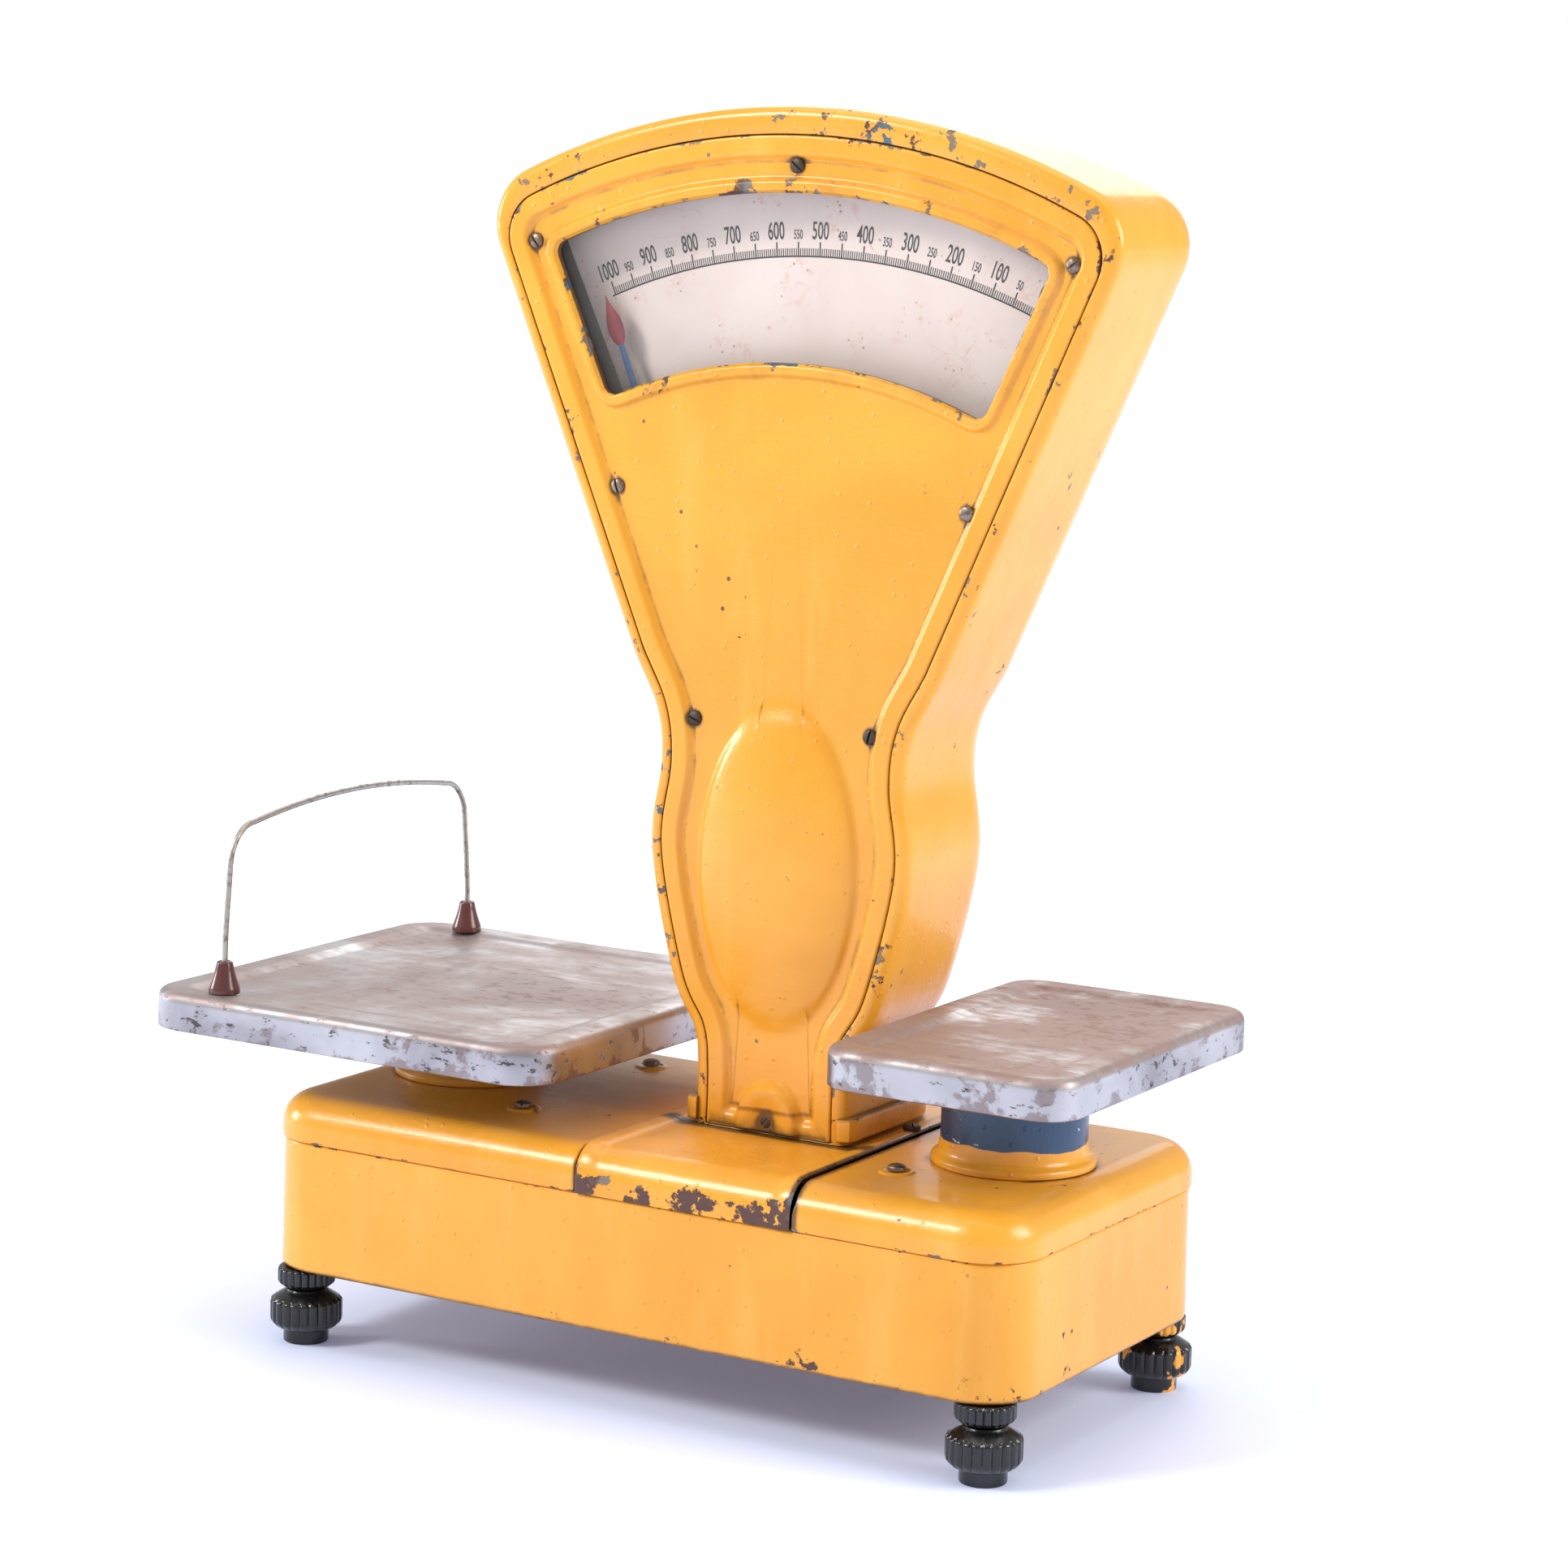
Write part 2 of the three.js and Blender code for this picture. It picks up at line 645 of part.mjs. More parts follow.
function casing() {
  const back = headBack;
  const layers = (wall, front) => {
    const list = [placed(headOutline(wall - headSideLip, wall - headTopLip), front)];
    const round = headBackRound - wall;
    for (let i = 0; i <= 3; i++) {
      const angle = ((i / 3) * Math.PI) / 2;
      const inset = wall + round * (1 - Math.cos(angle));
      const y = back - wall - round * (1 - Math.sin(angle));
      list.push(placed(headOutline(inset - headSideLip, inset - headTopLip), y));
    }
    return loft(list);
  };
  const outside = layers(0, casingFront);
  const cavity = layers(headWall, casingFront + headWall);
  const mouth = frontPrism(headOutline(casingLip, casingLip), casingFront - 2, casingFront + headWall + 1);
  const footOpening = block(
    [headWall - casingFootHalf, casingFront - 2, -pivotRise - 5],
    [casingFootHalf - headWall, back - headBackRound, -pivotRise + 12],
  );
  const lugs = screwPlaces.map(([x, z], i) => {
    const seat = casingFront + coverStep + touchGap;
    const back = seat + lugDepth;
    if (i === 6) return block([x - lugHalf, seat, z - 4.5], [x + lugHalf, back, z + 40]);
    if (i === 7) return block([-casingFootHalf, seat, z - lugHalf], [casingFootHalf, back, z + lugHalf]);
    const side = Math.sign(x);
    const web = frontPrism(mirrored([[lugHalf, -4], [lugHalf, 30]]), seat, back);
    const lean = i < 4 ? 90 + THREE.MathUtils.radToDeg(flankAngle) : 90;
    return web.rotate([0, side * lean, 0]).translate([x, 0, z]);
  });
  const holes = screwPlaces.map(([x, z]) => bar("y", screwShank + touchGap, coverFront, 8, [x, z], 8));
  const rear = ringSector(
    windowInner + rearWindowInset,
    windowOuter - rearWindowInset,
    windowHalfAngle - rearWindowInset / windowOuter,
    windowCorner,
  );
  const rearWindow = frontPrism(rear, back - headBackRound, back + 2);
  const inner = join(...lugs).intersect(outside);
  const shell = join(cut(outside, cavity, mouth), inner);
  add(head, "head_casing", cut(shell, footOpening, rearWindow, ...holes), "enamel");
}

function frontCover() {
  const front = coverFront;
  const panelFront = front + coverStep;
  const flange = frontPrism(headOutline(0, 0), front, front + coverSheet);
  const recess = frontPrism(headOutline(coverFlange, coverFlange), front - 1, panelFront);
  const skirtInset = coverFlange - coverSheet;
  const skirt = frontPrism(headOutline(skirtInset, skirtInset), front + 0.5, panelFront + coverSheet);
  const window = ringSector(windowInner, windowOuter, windowHalfAngle, windowCorner);
  const spread = windowRim / windowOuter;
  const rimOutline = ringSector(
    windowInner - windowRim,
    windowOuter + windowRim,
    windowHalfAngle + spread,
    windowCorner + windowRim,
  );
  const rim = frontPrism(rimOutline, panelFront - windowRimHeight, panelFront + 1);
  const opening = frontPrism(window, front - 3, panelFront + coverSheet + 2);
  const dome = (shrink) => {
    const ball = new THREE.SphereGeometry(1, 16, 8);
    ball.scale(bulge.halfWidth - shrink, bulge.depth - shrink, bulge.halfHeight - shrink);
    ball.translate(0, panelFront + 1, bulge.rise);
    return solid(ball);
  };
  const ahead = block([-90, front - 60, -pivotRise], [90, panelFront + coverSheet, pivotRise]);
  const bottomBoss = bar("y", footBossRadius, front, panelFront + 1, [0, footScrewRise - pivotRise], 20);
  const footEdge = block([-90, front - 2, -pivotRise - 30], [90, panelFront + 5, -pivotRise + touchGap]);
  const plain = join(cut(flange, recess), cut(skirt, recess));
  const raisedParts = join(plain, rim, dome(0).intersect(ahead), bottomBoss.subtract(footEdge));
  const holes = screwPlaces.map(([x, z]) => bar("y", screwShank + touchGap, front - 1, 8, [x, z], 8));
  add(head, "front_cover", cut(raisedParts, opening, dome(bulge.wall), ...holes), "enamel");
  screwPlaces.forEach(([x, z], i) => {
    const seat = i === 7 ? front : panelFront;
    slottedScrew(head, "cover_screw_" + (i + 1), [x, seat, z], "front", coverScrew, "steel");
  });
}

function glasses() {
  const lap = glassLap;
  const pane = (inset) =>
    ringSector(
      windowInner + inset - lap,
      windowOuter - inset + lap,
      windowHalfAngle + (lap - inset) / windowOuter,
      windowCorner,
    );
  const frontFace = coverFront + coverStep + coverSheet + touchGap;
  add(head, "front_glass", frontPrism(pane(0), frontFace, frontFace + glassThickness), "glass");
  const rearFace = headBack - headWall - touchGap - glassThickness;
  const rearPane = frontPrism(pane(rearWindowInset + 4), rearFace, rearFace + glassThickness);
  add(head, "rear_glass", rearPane, "glass");
}

const frontDialFace = coverFront + dialDrop;
const rearDialFace = headBack - dialDrop;

function dials() {
  const outline = ringSector(dialInner, dialOuter, dialHalfAngle, 4);
  add(head, "front_dial", frontPrism(outline, frontDialFace, frontDialFace + dialThickness), "dialPaper");
  add(head, "rear_dial", frontPrism(outline, rearDialFace - dialThickness, rearDialFace), "dialPaper");
}

// Two tall plates joined at the foot and behind the dials, with the shaft's bearings between them.
function bracket() {
  const front = frontDialFace + dialThickness + touchGap;
  const back = rearDialFace - dialThickness - touchGap;
  const half = 20;
  const bottom = -pivotRise + lipHeight + touchGap;
  const top = dialOuter - 14;
  const plate = 3;
  const crossing = (low, high) => block([-half, front, low], [half, back, high]);
  const frame = join(
    block([-half, front, bottom], [half, front + plate, top]),
    block([-half, back - plate, bottom], [half, back, top]),
    crossing(bottom, bottom + 5),
    crossing(dialInner + 12, dialInner + 18),
    crossing(top - 6, top),
  );
  const linkSlot = block(
    [crankReach - 4, linkSide - 6, bottom - 1],
    [crankReach + 4, linkSide + 6, bottom + 6],
  );
  const bearings = bar("y", shaftRadius + runningGap, front - 1, back + 1, [0, 0], 12);
  add(head, "dial_bracket", cut(frame, linkSlot, bearings), "castIron");
}

// The collar is a band round the sides and back of the column's foot, with a tab at each front corner.
function collar() {
  const bottom = lidTop + lipHeight + touchGap;
  const top = bottom + 12;
  const ring = cut(
    planPrism(columnSection(collarThickness), bottom, top),
    planPrism(columnSection(touchGap), bottom - 1, top + 1),
  );
  const tabInset = 4;
  const frontGap = block(
    [tabInset - casingFootHalf, coverFront - 20, bottom - 1],
    [casingFootHalf - tabInset, coverFront + 9, top + 1],
  );
  const mesh = add(scale, "column_foot_collar", cut(ring, frontGap), "enamel");
  mesh.position.x = columnOffset;
}

// ---- Pointers, shaft and counterweight ----

function pointerWork() {
  const turning = new THREE.Group();
  turning.rotation.y = restPointer;
  head.add(turning);
  const tail = 26;
  const neck = windowInner - 24;
  const arrow = windowInner + 24;
  const tip = windowInner + pointerLap;
  const half = [
    [0, -tail],
    [5, -tail],
    [4, -8],
    [3.2, 20],
    [1.6, neck],
    [1.1, arrow],
    [3.4, arrow + 1],
    [0.5, tip],
    [0, tip],
  ];
  const hand = (name, y) => {
    const blade = frontPrism(mirrored(half), y, y + pointerThickness);
    const hub = bar("y", pointerHub, y, y + pointerThickness, [0, 0], 16);
    const hole = bar("y", shaftRadius + touchGap, y - 1, y + 3, [0, 0], 12);
    add(turning, name, cut(join(blade, hub), hole), "pointerBlue");
  };
  const frontPlace = coverFront + pointerDrop;
  const rearPlace = headBack - pointerDrop - pointerThickness;
  hand("front_pointer", frontPlace);
  hand("rear_pointer", rearPlace);
  const shaft = bar("y", shaftRadius, frontPlace - 2, rearPlace + pointerThickness + 2, [0, 0], 12);
  add(turning, "pointer_shaft", shaft, "steel");

  const web = frontPrism(mirrored([[7, 6], [5, -bobReach]]), linkSide - 12, linkSide - 7);
  const bob = bar("y", bobRadius, linkSide - 18, linkSide - 4, [0, -bobReach], 20);
  const hub = bar("y", 6.5, linkSide - 16, linkSide - 4, [0, 0], 16);
  const arm = block([0, linkSide - 12, -2.5], [crankReach + 1, linkSide - 7, 2.5]);
  const crankPin = bar("y", crankPinRadius, linkSide - 9, linkSide + 4, [crankReach, 0], 10);
  const hole = bar("y", shaftRadius + touchGap, linkSide - 20, linkSide + 6, [0, 0], 12);
  const quadrant = cut(join(web, bob, hub, arm), hole);
  add(turning, "counterweight_quadrant", join(quadrant, crankPin), "castIron");
}

// ---- Beam, carriers, check lever, damper and link ----

const endRise = -armLength * Math.sin(restTilt); // of the weights end above the fulcrum at rest
const endX = armLength * Math.cos(restTilt);

function beam() {
  const tilting = new THREE.Group();
  tilting.position.z = beamHeight;
  tilting.rotation.y = restTilt;
  scale.add(tilting);
  const { thickness, height, spread } = beamBar;
  const outer = spread + thickness / 2;
  const reach = armLength + 9;
  const half = thickness / 2;
  const side = (y) => block([-reach, y - half, -height / 2], [reach, y + half, height / 2]);
  const rod = (x, radius) => bar("y", radius, -outer, outer, [x, 0], 12);
  const frame = join(
    side(-spread),
    side(spread),
    rod(-armLength, rodRadius),
    rod(armLength, rodRadius),
    bar("y", rodRadius, -outer, outer, [0, 0], 12),
    rod(linkX / Math.cos(restTilt), smallRodRadius),
    rod(-damperReach, smallRodRadius),
  );
  add(tilting, "main_beam", frame, "castIron");
}

function checkLever() {
  const tilting = new THREE.Group();
  tilting.position.z = beamHeight - checkDrop;
  tilting.rotation.y = restTilt;
  scale.add(tilting);
  const { thickness, height } = checkBar;
  const reach = armLength + 7;
  const pin = (x, half) => bar("y", checkPin, -half, half, [x, 0], 12);
  const plain = block([-reach, -thickness / 2, -height / 2], [reach, thickness / 2, height / 2]);
  const span = hangerSpread + 5;
  const lever = join(plain, pin(-armLength, span), pin(armLength, span), pin(0, 33));
  add(tilting, "check_lever", lever, "castIron");
}

function fulcrumStand() {
  const inner = beamBar.spread - beamBar.thickness / 2 - 8;
  const outer = inner + 5;
  const foot = floorTop + touchGap;
  const top = beamHeight + 11;
  const upright = (y0, y1) => block([-14, y0, foot], [14, y1, top]);
  const sole = block([-30, -outer, foot], [30, outer, foot + 5]);
  const stand = join(upright(-outer, -inner), upright(inner, outer), sole);
  const fulcrumHole = bar("y", rodRadius + runningGap, -outer - 1, outer + 1, [0, beamHeight], 12);
  const checkPlace = [0, beamHeight - checkDrop];
  const checkHole = bar("y", checkPin + runningGap, -outer - 1, outer + 1, checkPlace, 12);
  add(scale, "fulcrum_stand", cut(stand, fulcrumHole, checkHole), "castIron");
}

// A pan carrier: a fork round the end of the beam and of the check lever, a post and a spider for the pan.
function carrier(name, side, panTop) {
  const rise = side * endRise;
  const x = side * endX;
  const rodHeight = beamHeight + rise;
  const pinHeight = beamHeight - checkDrop + rise;
  const forkTop = rodHeight + rodRadius + 9;
  const forkBottom = pinHeight - checkPin - 3.5;
  const cheek = (y) => block([x - 9, y - 2.5, forkBottom], [x + 9, y + 2.5, forkTop]);
  const spiderTop = panTop - panRecess - panWall - touchGap;
  const fork = join(
    cheek(-hangerSpread),
    cheek(hangerSpread),
    block([x - 9, -hangerSpread - 2.5, rodHeight + rodRadius + 2], [x + 9, hangerSpread + 2.5, forkTop]),
  );
  const play = runningGap + endX * (1 / Math.cos(restTilt) - 1);
  const rodHole = bar("y", rodRadius + play, -40, 40, [x, rodHeight], 12);
  const pinHole = bar("y", checkPin + play, -40, 40, [x, pinHeight], 12);
  const post = bar("z", postRadius, forkTop - 1, spiderTop, [side * armLength, 0], 12);
  const spider = bar("z", spiderRadius, spiderTop - 5, spiderTop, [side * armLength, 0], 20);
  add(scale, name, cut(join(fork, post, spider), rodHole, pinHole), "castIron");
}

// A pressed pan: a skirt, a rounded edge, a flat border and a shallow recess, hollow underneath.
function pan(name, side, size, panTop) {
  const loop = (inset, z) => {
    const corner = Math.max(size.corner - inset, 3);
    return raised(roundedRectangle(size.length - 2 * inset, size.depth - 2 * inset, corner), z);
  };
  const body = (wall, bottom) => {
    const round = panRound - wall;
    const top = panTop - wall;
    const layers = [loop(wall, bottom)];
    for (let i = 0; i <= 3; i++) {
      const angle = ((i / 3) * Math.PI) / 2;
      layers.push(loop(wall + round * (1 - Math.cos(angle)), top - round * (1 - Math.sin(angle))));
    }
    layers.push(loop(panBorder, top));
    layers.push(loop(panBorder + 5, top - panRecess));
    return loft(layers);
  };
  const hollow = body(panWall, panTop - panRim - 1);
  const mesh = add(scale, name, cut(body(0, panTop - panRim), hollow), "aluminium");
  mesh.position.x = side * (armLength + size.offset);
}

// The guard is a wire hoop along the outer side of the goods pan, on two moulded feet.
function guard(panTop) {
  const hoop = new THREE.Group();
  hoop.position.set(-armLength - goodsPan.offset - goodsPan.length / 2 + guardEndInset, 0, panTop);
  scale.add(hoop);
  const half = goodsPan.depth / 2 - guardSideInset;
  const bottom = guardFoot.height - 5;
  const point = (y, z) => new THREE.Vector3(0, y, z);
  const path = new THREE.CurvePath();
  const bendTop = guardHeight;
  path.add(new THREE.LineCurve3(point(-half, bottom), point(-half, bendTop - guardBend)));
  path.add(
    new THREE.QuadraticBezierCurve3(
      point(-half, bendTop - guardBend),
      point(-half, bendTop),
      point(-half + guardBend, bendTop + 1),
    ),
  );
  path.add(
    new THREE.CubicBezierCurve3(
      point(-half + guardBend, bendTop + 1),
      point(-half / 2, bendTop + 1 + guardRise),
      point(half / 2, bendTop + 1 + guardRise),
      point(half - guardBend, bendTop + 1),
    ),
  );
  path.add(
    new THREE.QuadraticBezierCurve3(
      point(half - guardBend, bendTop + 1),
      point(half, bendTop),
      point(half, bendTop - guardBend),
    ),
  );
  path.add(new THREE.LineCurve3(point(half, bendTop - guardBend), point(half, bottom)));
  const section = new THREE.Shape();
  section.absarc(0, 0, guardWireRadius, 0, 2 * Math.PI, false);
  const wire = new THREE.ExtrudeGeometry(section, { steps: 32, curveSegments: 3, extrudePath: path });
  add(hoop, "guard_wire", solid(wire), "steel");

  const { base, top, height } = guardFoot;
  const bore = guardWireRadius + touchGap;
  const profile = [
    [0, touchGap],
    [base, touchGap],
    [base, 2.5],
    [base - 0.8, 3.5],
    [top + 0.6, height - 2],
    [top, height],
    [bore, height],
    [bore, bottom - touchGap],
    [0, bottom - touchGap],
  ];
  for (const [name, end] of [["guard_foot_front", -1], ["guard_foot_rear", 1]]) {
    const mesh = add(hoop, name, turned(profile, 16), "brownPhenolic");
    mesh.position.y = end * half;
  }
}

function damper() {
  const rodX = -damperReach * Math.cos(restTilt);
  const rodHeight = beamHeight + damperReach * Math.sin(restTilt);
  const floor = floorTop + touchGap;
  const cup = cut(
    bar("z", damperRadius, floor, floor + damperHeight, [rodX, damperSide], 24),
    bar("z", damperRadius - 2, floor + 2, floor + damperHeight + 1, [rodX, damperSide], 24),
  );
  add(scale, "damper_cylinder", cup, "castIron");
  const disc = bar("z", damperRadius - 3, floor + 6, floor + 10, [rodX, damperSide], 16);
  const stem = bar("z", 2, floor + 9, rodHeight - 3, [rodX, damperSide], 12);
  const eye = bar("y", eyeRadius, damperSide - 3, damperSide + 3, [rodX, rodHeight], 12);
  const bore = smallRodRadius + eyePlay;
  const eyeHole = bar("y", bore, damperSide - 5, damperSide + 5, [rodX, rodHeight], 12);
  add(scale, "damper_piston", cut(join(disc, stem, eye), eyeHole), "darkSteel");
}

function connectingLink() {
  const low = beamHeight - (linkX / Math.cos(restTilt)) * Math.sin(restTilt);
  const high = pivotHeight - crankReach * Math.sin(restPointer);
  const thickness = 2;
  const side = (radius, z) => bar("y", radius, linkSide - thickness, linkSide + thickness, [linkX, z], 12);
  const stem = bar("z", linkRadius, low + 3, high - 2.5, [linkX, linkSide], 12);
  const play = crankReach * (1 - Math.cos(restPointer));
  const highHole = side(crankPinRadius + play + runningGap, high);
  const lowHole = side(smallRodRadius + eyePlay, low);
  const eyes = [side(eyeRadius, low), side(crankPinRadius + play + 1.6, high)];
  const link = cut(join(stem, ...eyes), highHole, lowHole);
  add(scale, "connecting_link", link, "darkSteel");
}

housing();
lids();
lidFasteners();
necks();
levellingFeet();
casing();
frontCover();
glasses();
dials();
bracket();
collar();
pointerWork();
beam();
checkLever();
fulcrumStand();
const raisedPanTop = loweredPanTop + panTravel;
carrier("goods_carrier", -1, loweredPanTop);
carrier("weights_carrier", 1, raisedPanTop);
pan("goods_pan", -1, goodsPan, loweredPanTop);
pan("weights_pan", 1, weightsPan, raisedPanTop);
guard(loweredPanTop);
damper();
connectingLink();

// The origin is the middle of the whole scale, on the surface it stands on.
const farLeft = -Math.max(armLength + goodsPan.offset + goodsPan.length / 2, baseHalf + lidOverhang);
const farRight = Math.max(armLength + weightsPan.offset + weightsPan.length / 2, baseHalf + lidOverhang);
scale.position.x = -(farLeft + farRight) / 2;

const centred = new THREE.Group();
centred.add(scale);

export default centred;
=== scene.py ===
import json
import math
import bpy
import numpy as np
from mathutils import Matrix, Vector


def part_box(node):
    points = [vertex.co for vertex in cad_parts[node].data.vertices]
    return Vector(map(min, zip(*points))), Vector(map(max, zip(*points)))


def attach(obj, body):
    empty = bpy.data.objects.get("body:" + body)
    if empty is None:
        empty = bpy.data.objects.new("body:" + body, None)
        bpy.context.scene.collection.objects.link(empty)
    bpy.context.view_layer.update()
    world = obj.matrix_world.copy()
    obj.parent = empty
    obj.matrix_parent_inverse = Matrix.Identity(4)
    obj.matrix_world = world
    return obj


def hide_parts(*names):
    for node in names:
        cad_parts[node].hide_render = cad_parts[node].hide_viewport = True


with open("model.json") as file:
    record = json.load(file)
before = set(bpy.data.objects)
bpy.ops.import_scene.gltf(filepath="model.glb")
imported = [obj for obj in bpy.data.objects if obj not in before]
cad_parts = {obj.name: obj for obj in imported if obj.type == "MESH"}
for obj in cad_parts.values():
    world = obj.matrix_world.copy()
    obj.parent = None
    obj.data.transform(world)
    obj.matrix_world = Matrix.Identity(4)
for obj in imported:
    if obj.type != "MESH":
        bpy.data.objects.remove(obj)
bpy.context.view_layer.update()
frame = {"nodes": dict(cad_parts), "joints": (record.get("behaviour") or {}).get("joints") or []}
joints = {joint["name"]: joint for joint in frame["joints"]}
mm = 0.001
pivot = np.array(joints["pointer_turn"]["pos_m"], float)  # the pointer shaft, at the middle of the head
print("frame loaded")


def cornersOf(node):
    # the lowest and the highest corner of a node's box, in millimetres
    return [np.array(corner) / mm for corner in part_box(node)]


view = {
    "place": (1.1066, -1.8126, 0.6340),
    "yaw": 30.31,
    "pitch": 8.84,
    "roll": 1.68,
    "lens": 96.36,
    "sensor": 36.0,
}


def makeCamera():
    yaw, pitch, roll = (math.radians(view[key]) for key in ("yaw", "pitch", "roll"))
    forward = Vector((-math.sin(yaw) * math.cos(pitch), math.cos(yaw) * math.cos(pitch), -math.sin(pitch)))
    right = Vector((math.cos(yaw), math.sin(yaw), 0))
    up = right.cross(forward)
    across = math.cos(roll) * right + math.sin(roll) * up
    upward = -math.sin(roll) * right + math.cos(roll) * up
    data = bpy.data.cameras.new("camera")
    data.lens = view["lens"]
    data.sensor_width = view["sensor"]
    data.clip_end = 50
    camera = bpy.data.objects.new("camera", data)
    bpy.context.scene.collection.objects.link(camera)
    turn = Matrix((across, upward, -forward)).transposed().to_4x4()
    camera.matrix_world = Matrix.Translation(Vector(view["place"])) @ turn
    bpy.context.scene.camera = camera


makeCamera()

light = {
    "sky": 0.56,
    "left": {"place": (-1.5, -2.0, 2.1), "size": 0.8, "power": 50, "colour": (1.0, 0.99, 0.98)},
    "side": {"place": (-2.3, -0.7, 0.7), "size": 0.6, "power": 20, "colour": (1.0, 1.0, 0.99)},
    "right": {"place": (2.3, 0.4, 1.4), "size": 1.3, "power": 44, "colour": (1.0, 0.99, 0.97)},
    "above": {"place": (0.0, 0.2, 2.6), "size": 2.2, "power": 22, "colour": (1.0, 1.0, 1.0)},
    "behind": {"place": (-0.9, 2.2, 1.6), "size": 1.6, "power": 16, "colour": (1.0, 1.0, 1.0)},
}


def makeStudio():
    for name in ("left", "side", "right", "above", "behind"):
        values = light[name]
        data = bpy.data.lights.new(name + "_light", "AREA")
        data.size = values["size"]
        data.energy = values["power"]
        data.color = values["colour"]
        lamp = bpy.data.objects.new(name + "_light", data)
        place = Vector(values["place"])
        aim = Vector((0, 0, 0.28)) - place
        lamp.matrix_world = Matrix.Translation(place) @ aim.to_track_quat("-Z", "Y").to_matrix().to_4x4()
        bpy.context.scene.collection.objects.link(lamp)
    world = bpy.data.worlds.new("studio")
    world.use_nodes = True
    sky = world.node_tree
    seen = sky.nodes.new("ShaderNodeLightPath")
    # the backdrop looks white but lights the scene less than that
    strength = sky.nodes.new("ShaderNodeMapRange")
    strength.inputs["To Min"].default_value = light["sky"]
    sky.links.new(seen.outputs["Is Camera Ray"], strength.inputs["Value"])
    sky.links.new(strength.outputs["Result"], sky.nodes["Background"].inputs["Strength"])
    sky.nodes["Background"].inputs["Color"].default_value = (1, 1, 1, 1)
    bpy.context.scene.world = world
    bpy.context.scene.view_settings.view_transform = "Standard"


makeStudio()
print("camera and studio made")


class Wire:
    # one value in a material; arithmetic on it adds Math nodes
    def __init__(self, tree, socket):
        self.tree = tree
        self.socket = socket

    def maths(self, operation, first, second):
        node = self.tree.nodes.new("ShaderNodeMath")
        node.operation = operation
        for slot, value in enumerate((first, second)):
            if isinstance(value, Wire):
                self.tree.links.new(value.socket, node.inputs[slot])
            else:
                node.inputs[slot].default_value = value
        return Wire(self.tree, node.outputs[0])

    def __add__(self, other):
        return self.maths("ADD", self, other)

    def __radd__(self, other):
        return self.maths("ADD", other, self)

    def __sub__(self, other):
        return self.maths("SUBTRACT", self, other)

    def __rsub__(self, other):
        return self.maths("SUBTRACT", other, self)

    def __mul__(self, other):
        return self.maths("MULTIPLY", self, other)

    def __pow__(self, other):
        return self.maths("POWER", self, other)

    def most(self, other):
        return self.maths("MAXIMUM", self, other)


class Finish:
    # one material: its tree, its principled shader and the few ways that nodes are added to it
    def __init__(self, name):
        self.material = bpy.data.materials.new(name)
        self.material.use_nodes = True
        self.tree = self.material.node_tree
        self.shader = self.tree.nodes["Principled BSDF"]
        self.place = self.add("ShaderNodeTexCoord", output="Object")

    def add(self, kind, settings=None, inputs=None, output=0):
        node = self.tree.nodes.new(kind)
        for key, value in (settings or {}).items():
            setattr(node, key, value)
        for key, value in (inputs or {}).items():
            if isinstance(value, Wire):
                self.tree.links.new(value.socket, node.inputs[key])
            else:
                node.inputs[key].default_value = value
        return Wire(self.tree, node.outputs[output])

    def noise(self, scale, detail=3.0, rough=0.55, twist=0.0, stretch=(1, 1, 1), offset=(0, 0, 0)):
        place = self.place
        if stretch != (1, 1, 1) or offset != (0, 0, 0):
            moved = {"Vector": place, "Scale": stretch, "Location": offset}
            place = self.add("ShaderNodeMapping", None, moved)
        sockets = {"Vector": place, "Scale": scale, "Detail": detail}
        sockets |= {"Roughness": rough, "Distortion": twist}
        return self.add("ShaderNodeTexNoise", None, sockets, "Fac")

    def cells(self, scale, feature="F1", offset=(0, 0, 0), randomness=1.0):
        place = self.place
        if offset != (0, 0, 0):
            place = self.add("ShaderNodeMapping", None, {"Vector": place, "Location": offset})
        sockets = {"Vector": place, "Scale": scale, "Randomness": randomness}
        return self.add("ShaderNodeTexVoronoi", {"feature": feature}, sockets, "Distance")

    def step(self, value, low, high):
        # 0 below low, 1 above high, and a smooth curve between them; low above high turns it round
        settings = {"interpolation_type": "SMOOTHSTEP", "clamp": True}
        turned = low > high
        edges = (high, low) if turned else (low, high)
        sockets = {"Value": value, "From Min": edges[0], "From Max": edges[1]}
        made = self.add("ShaderNodeMapRange", settings, sockets, "Result")
        return 1 - made if turned else made

    def mix(self, factor, first, second):
        first, second = ((*value, 1) if isinstance(value, tuple) else value for value in (first, second))
        sockets = {0: factor, 6: first, 7: second}
        return self.add("ShaderNodeMix", {"data_type": "RGBA"}, sockets, 2)

    def attribute(self, name):
        return self.add("ShaderNodeAttribute", {"attribute_name": name}, None, "Fac")

    def height(self):
        # the three parts of the place, of which the third is the height
        first = self.add("ShaderNodeSeparateXYZ", None, {"Vector": self.place})
        return [Wire(self.tree, socket) for socket in first.socket.node.outputs]

    def set(self, **values):
        # values go on the principled shader: a wire is linked and a plain value is set
        for key, value in values.items():
            socket = self.shader.inputs[key.replace("_", " ")]
            if isinstance(value, Wire):
                self.tree.links.new(value.socket, socket)
            elif isinstance(value, tuple):
                socket.default_value = (*value, 1)
            else:
                socket.default_value = value
        return self

    def bump(self, height, distance, strength=1.0):
        sockets = {"Height": height, "Distance": distance, "Strength": strength}
        return self.set(Normal=self.add("ShaderNodeBump", None, sockets, "Normal"))


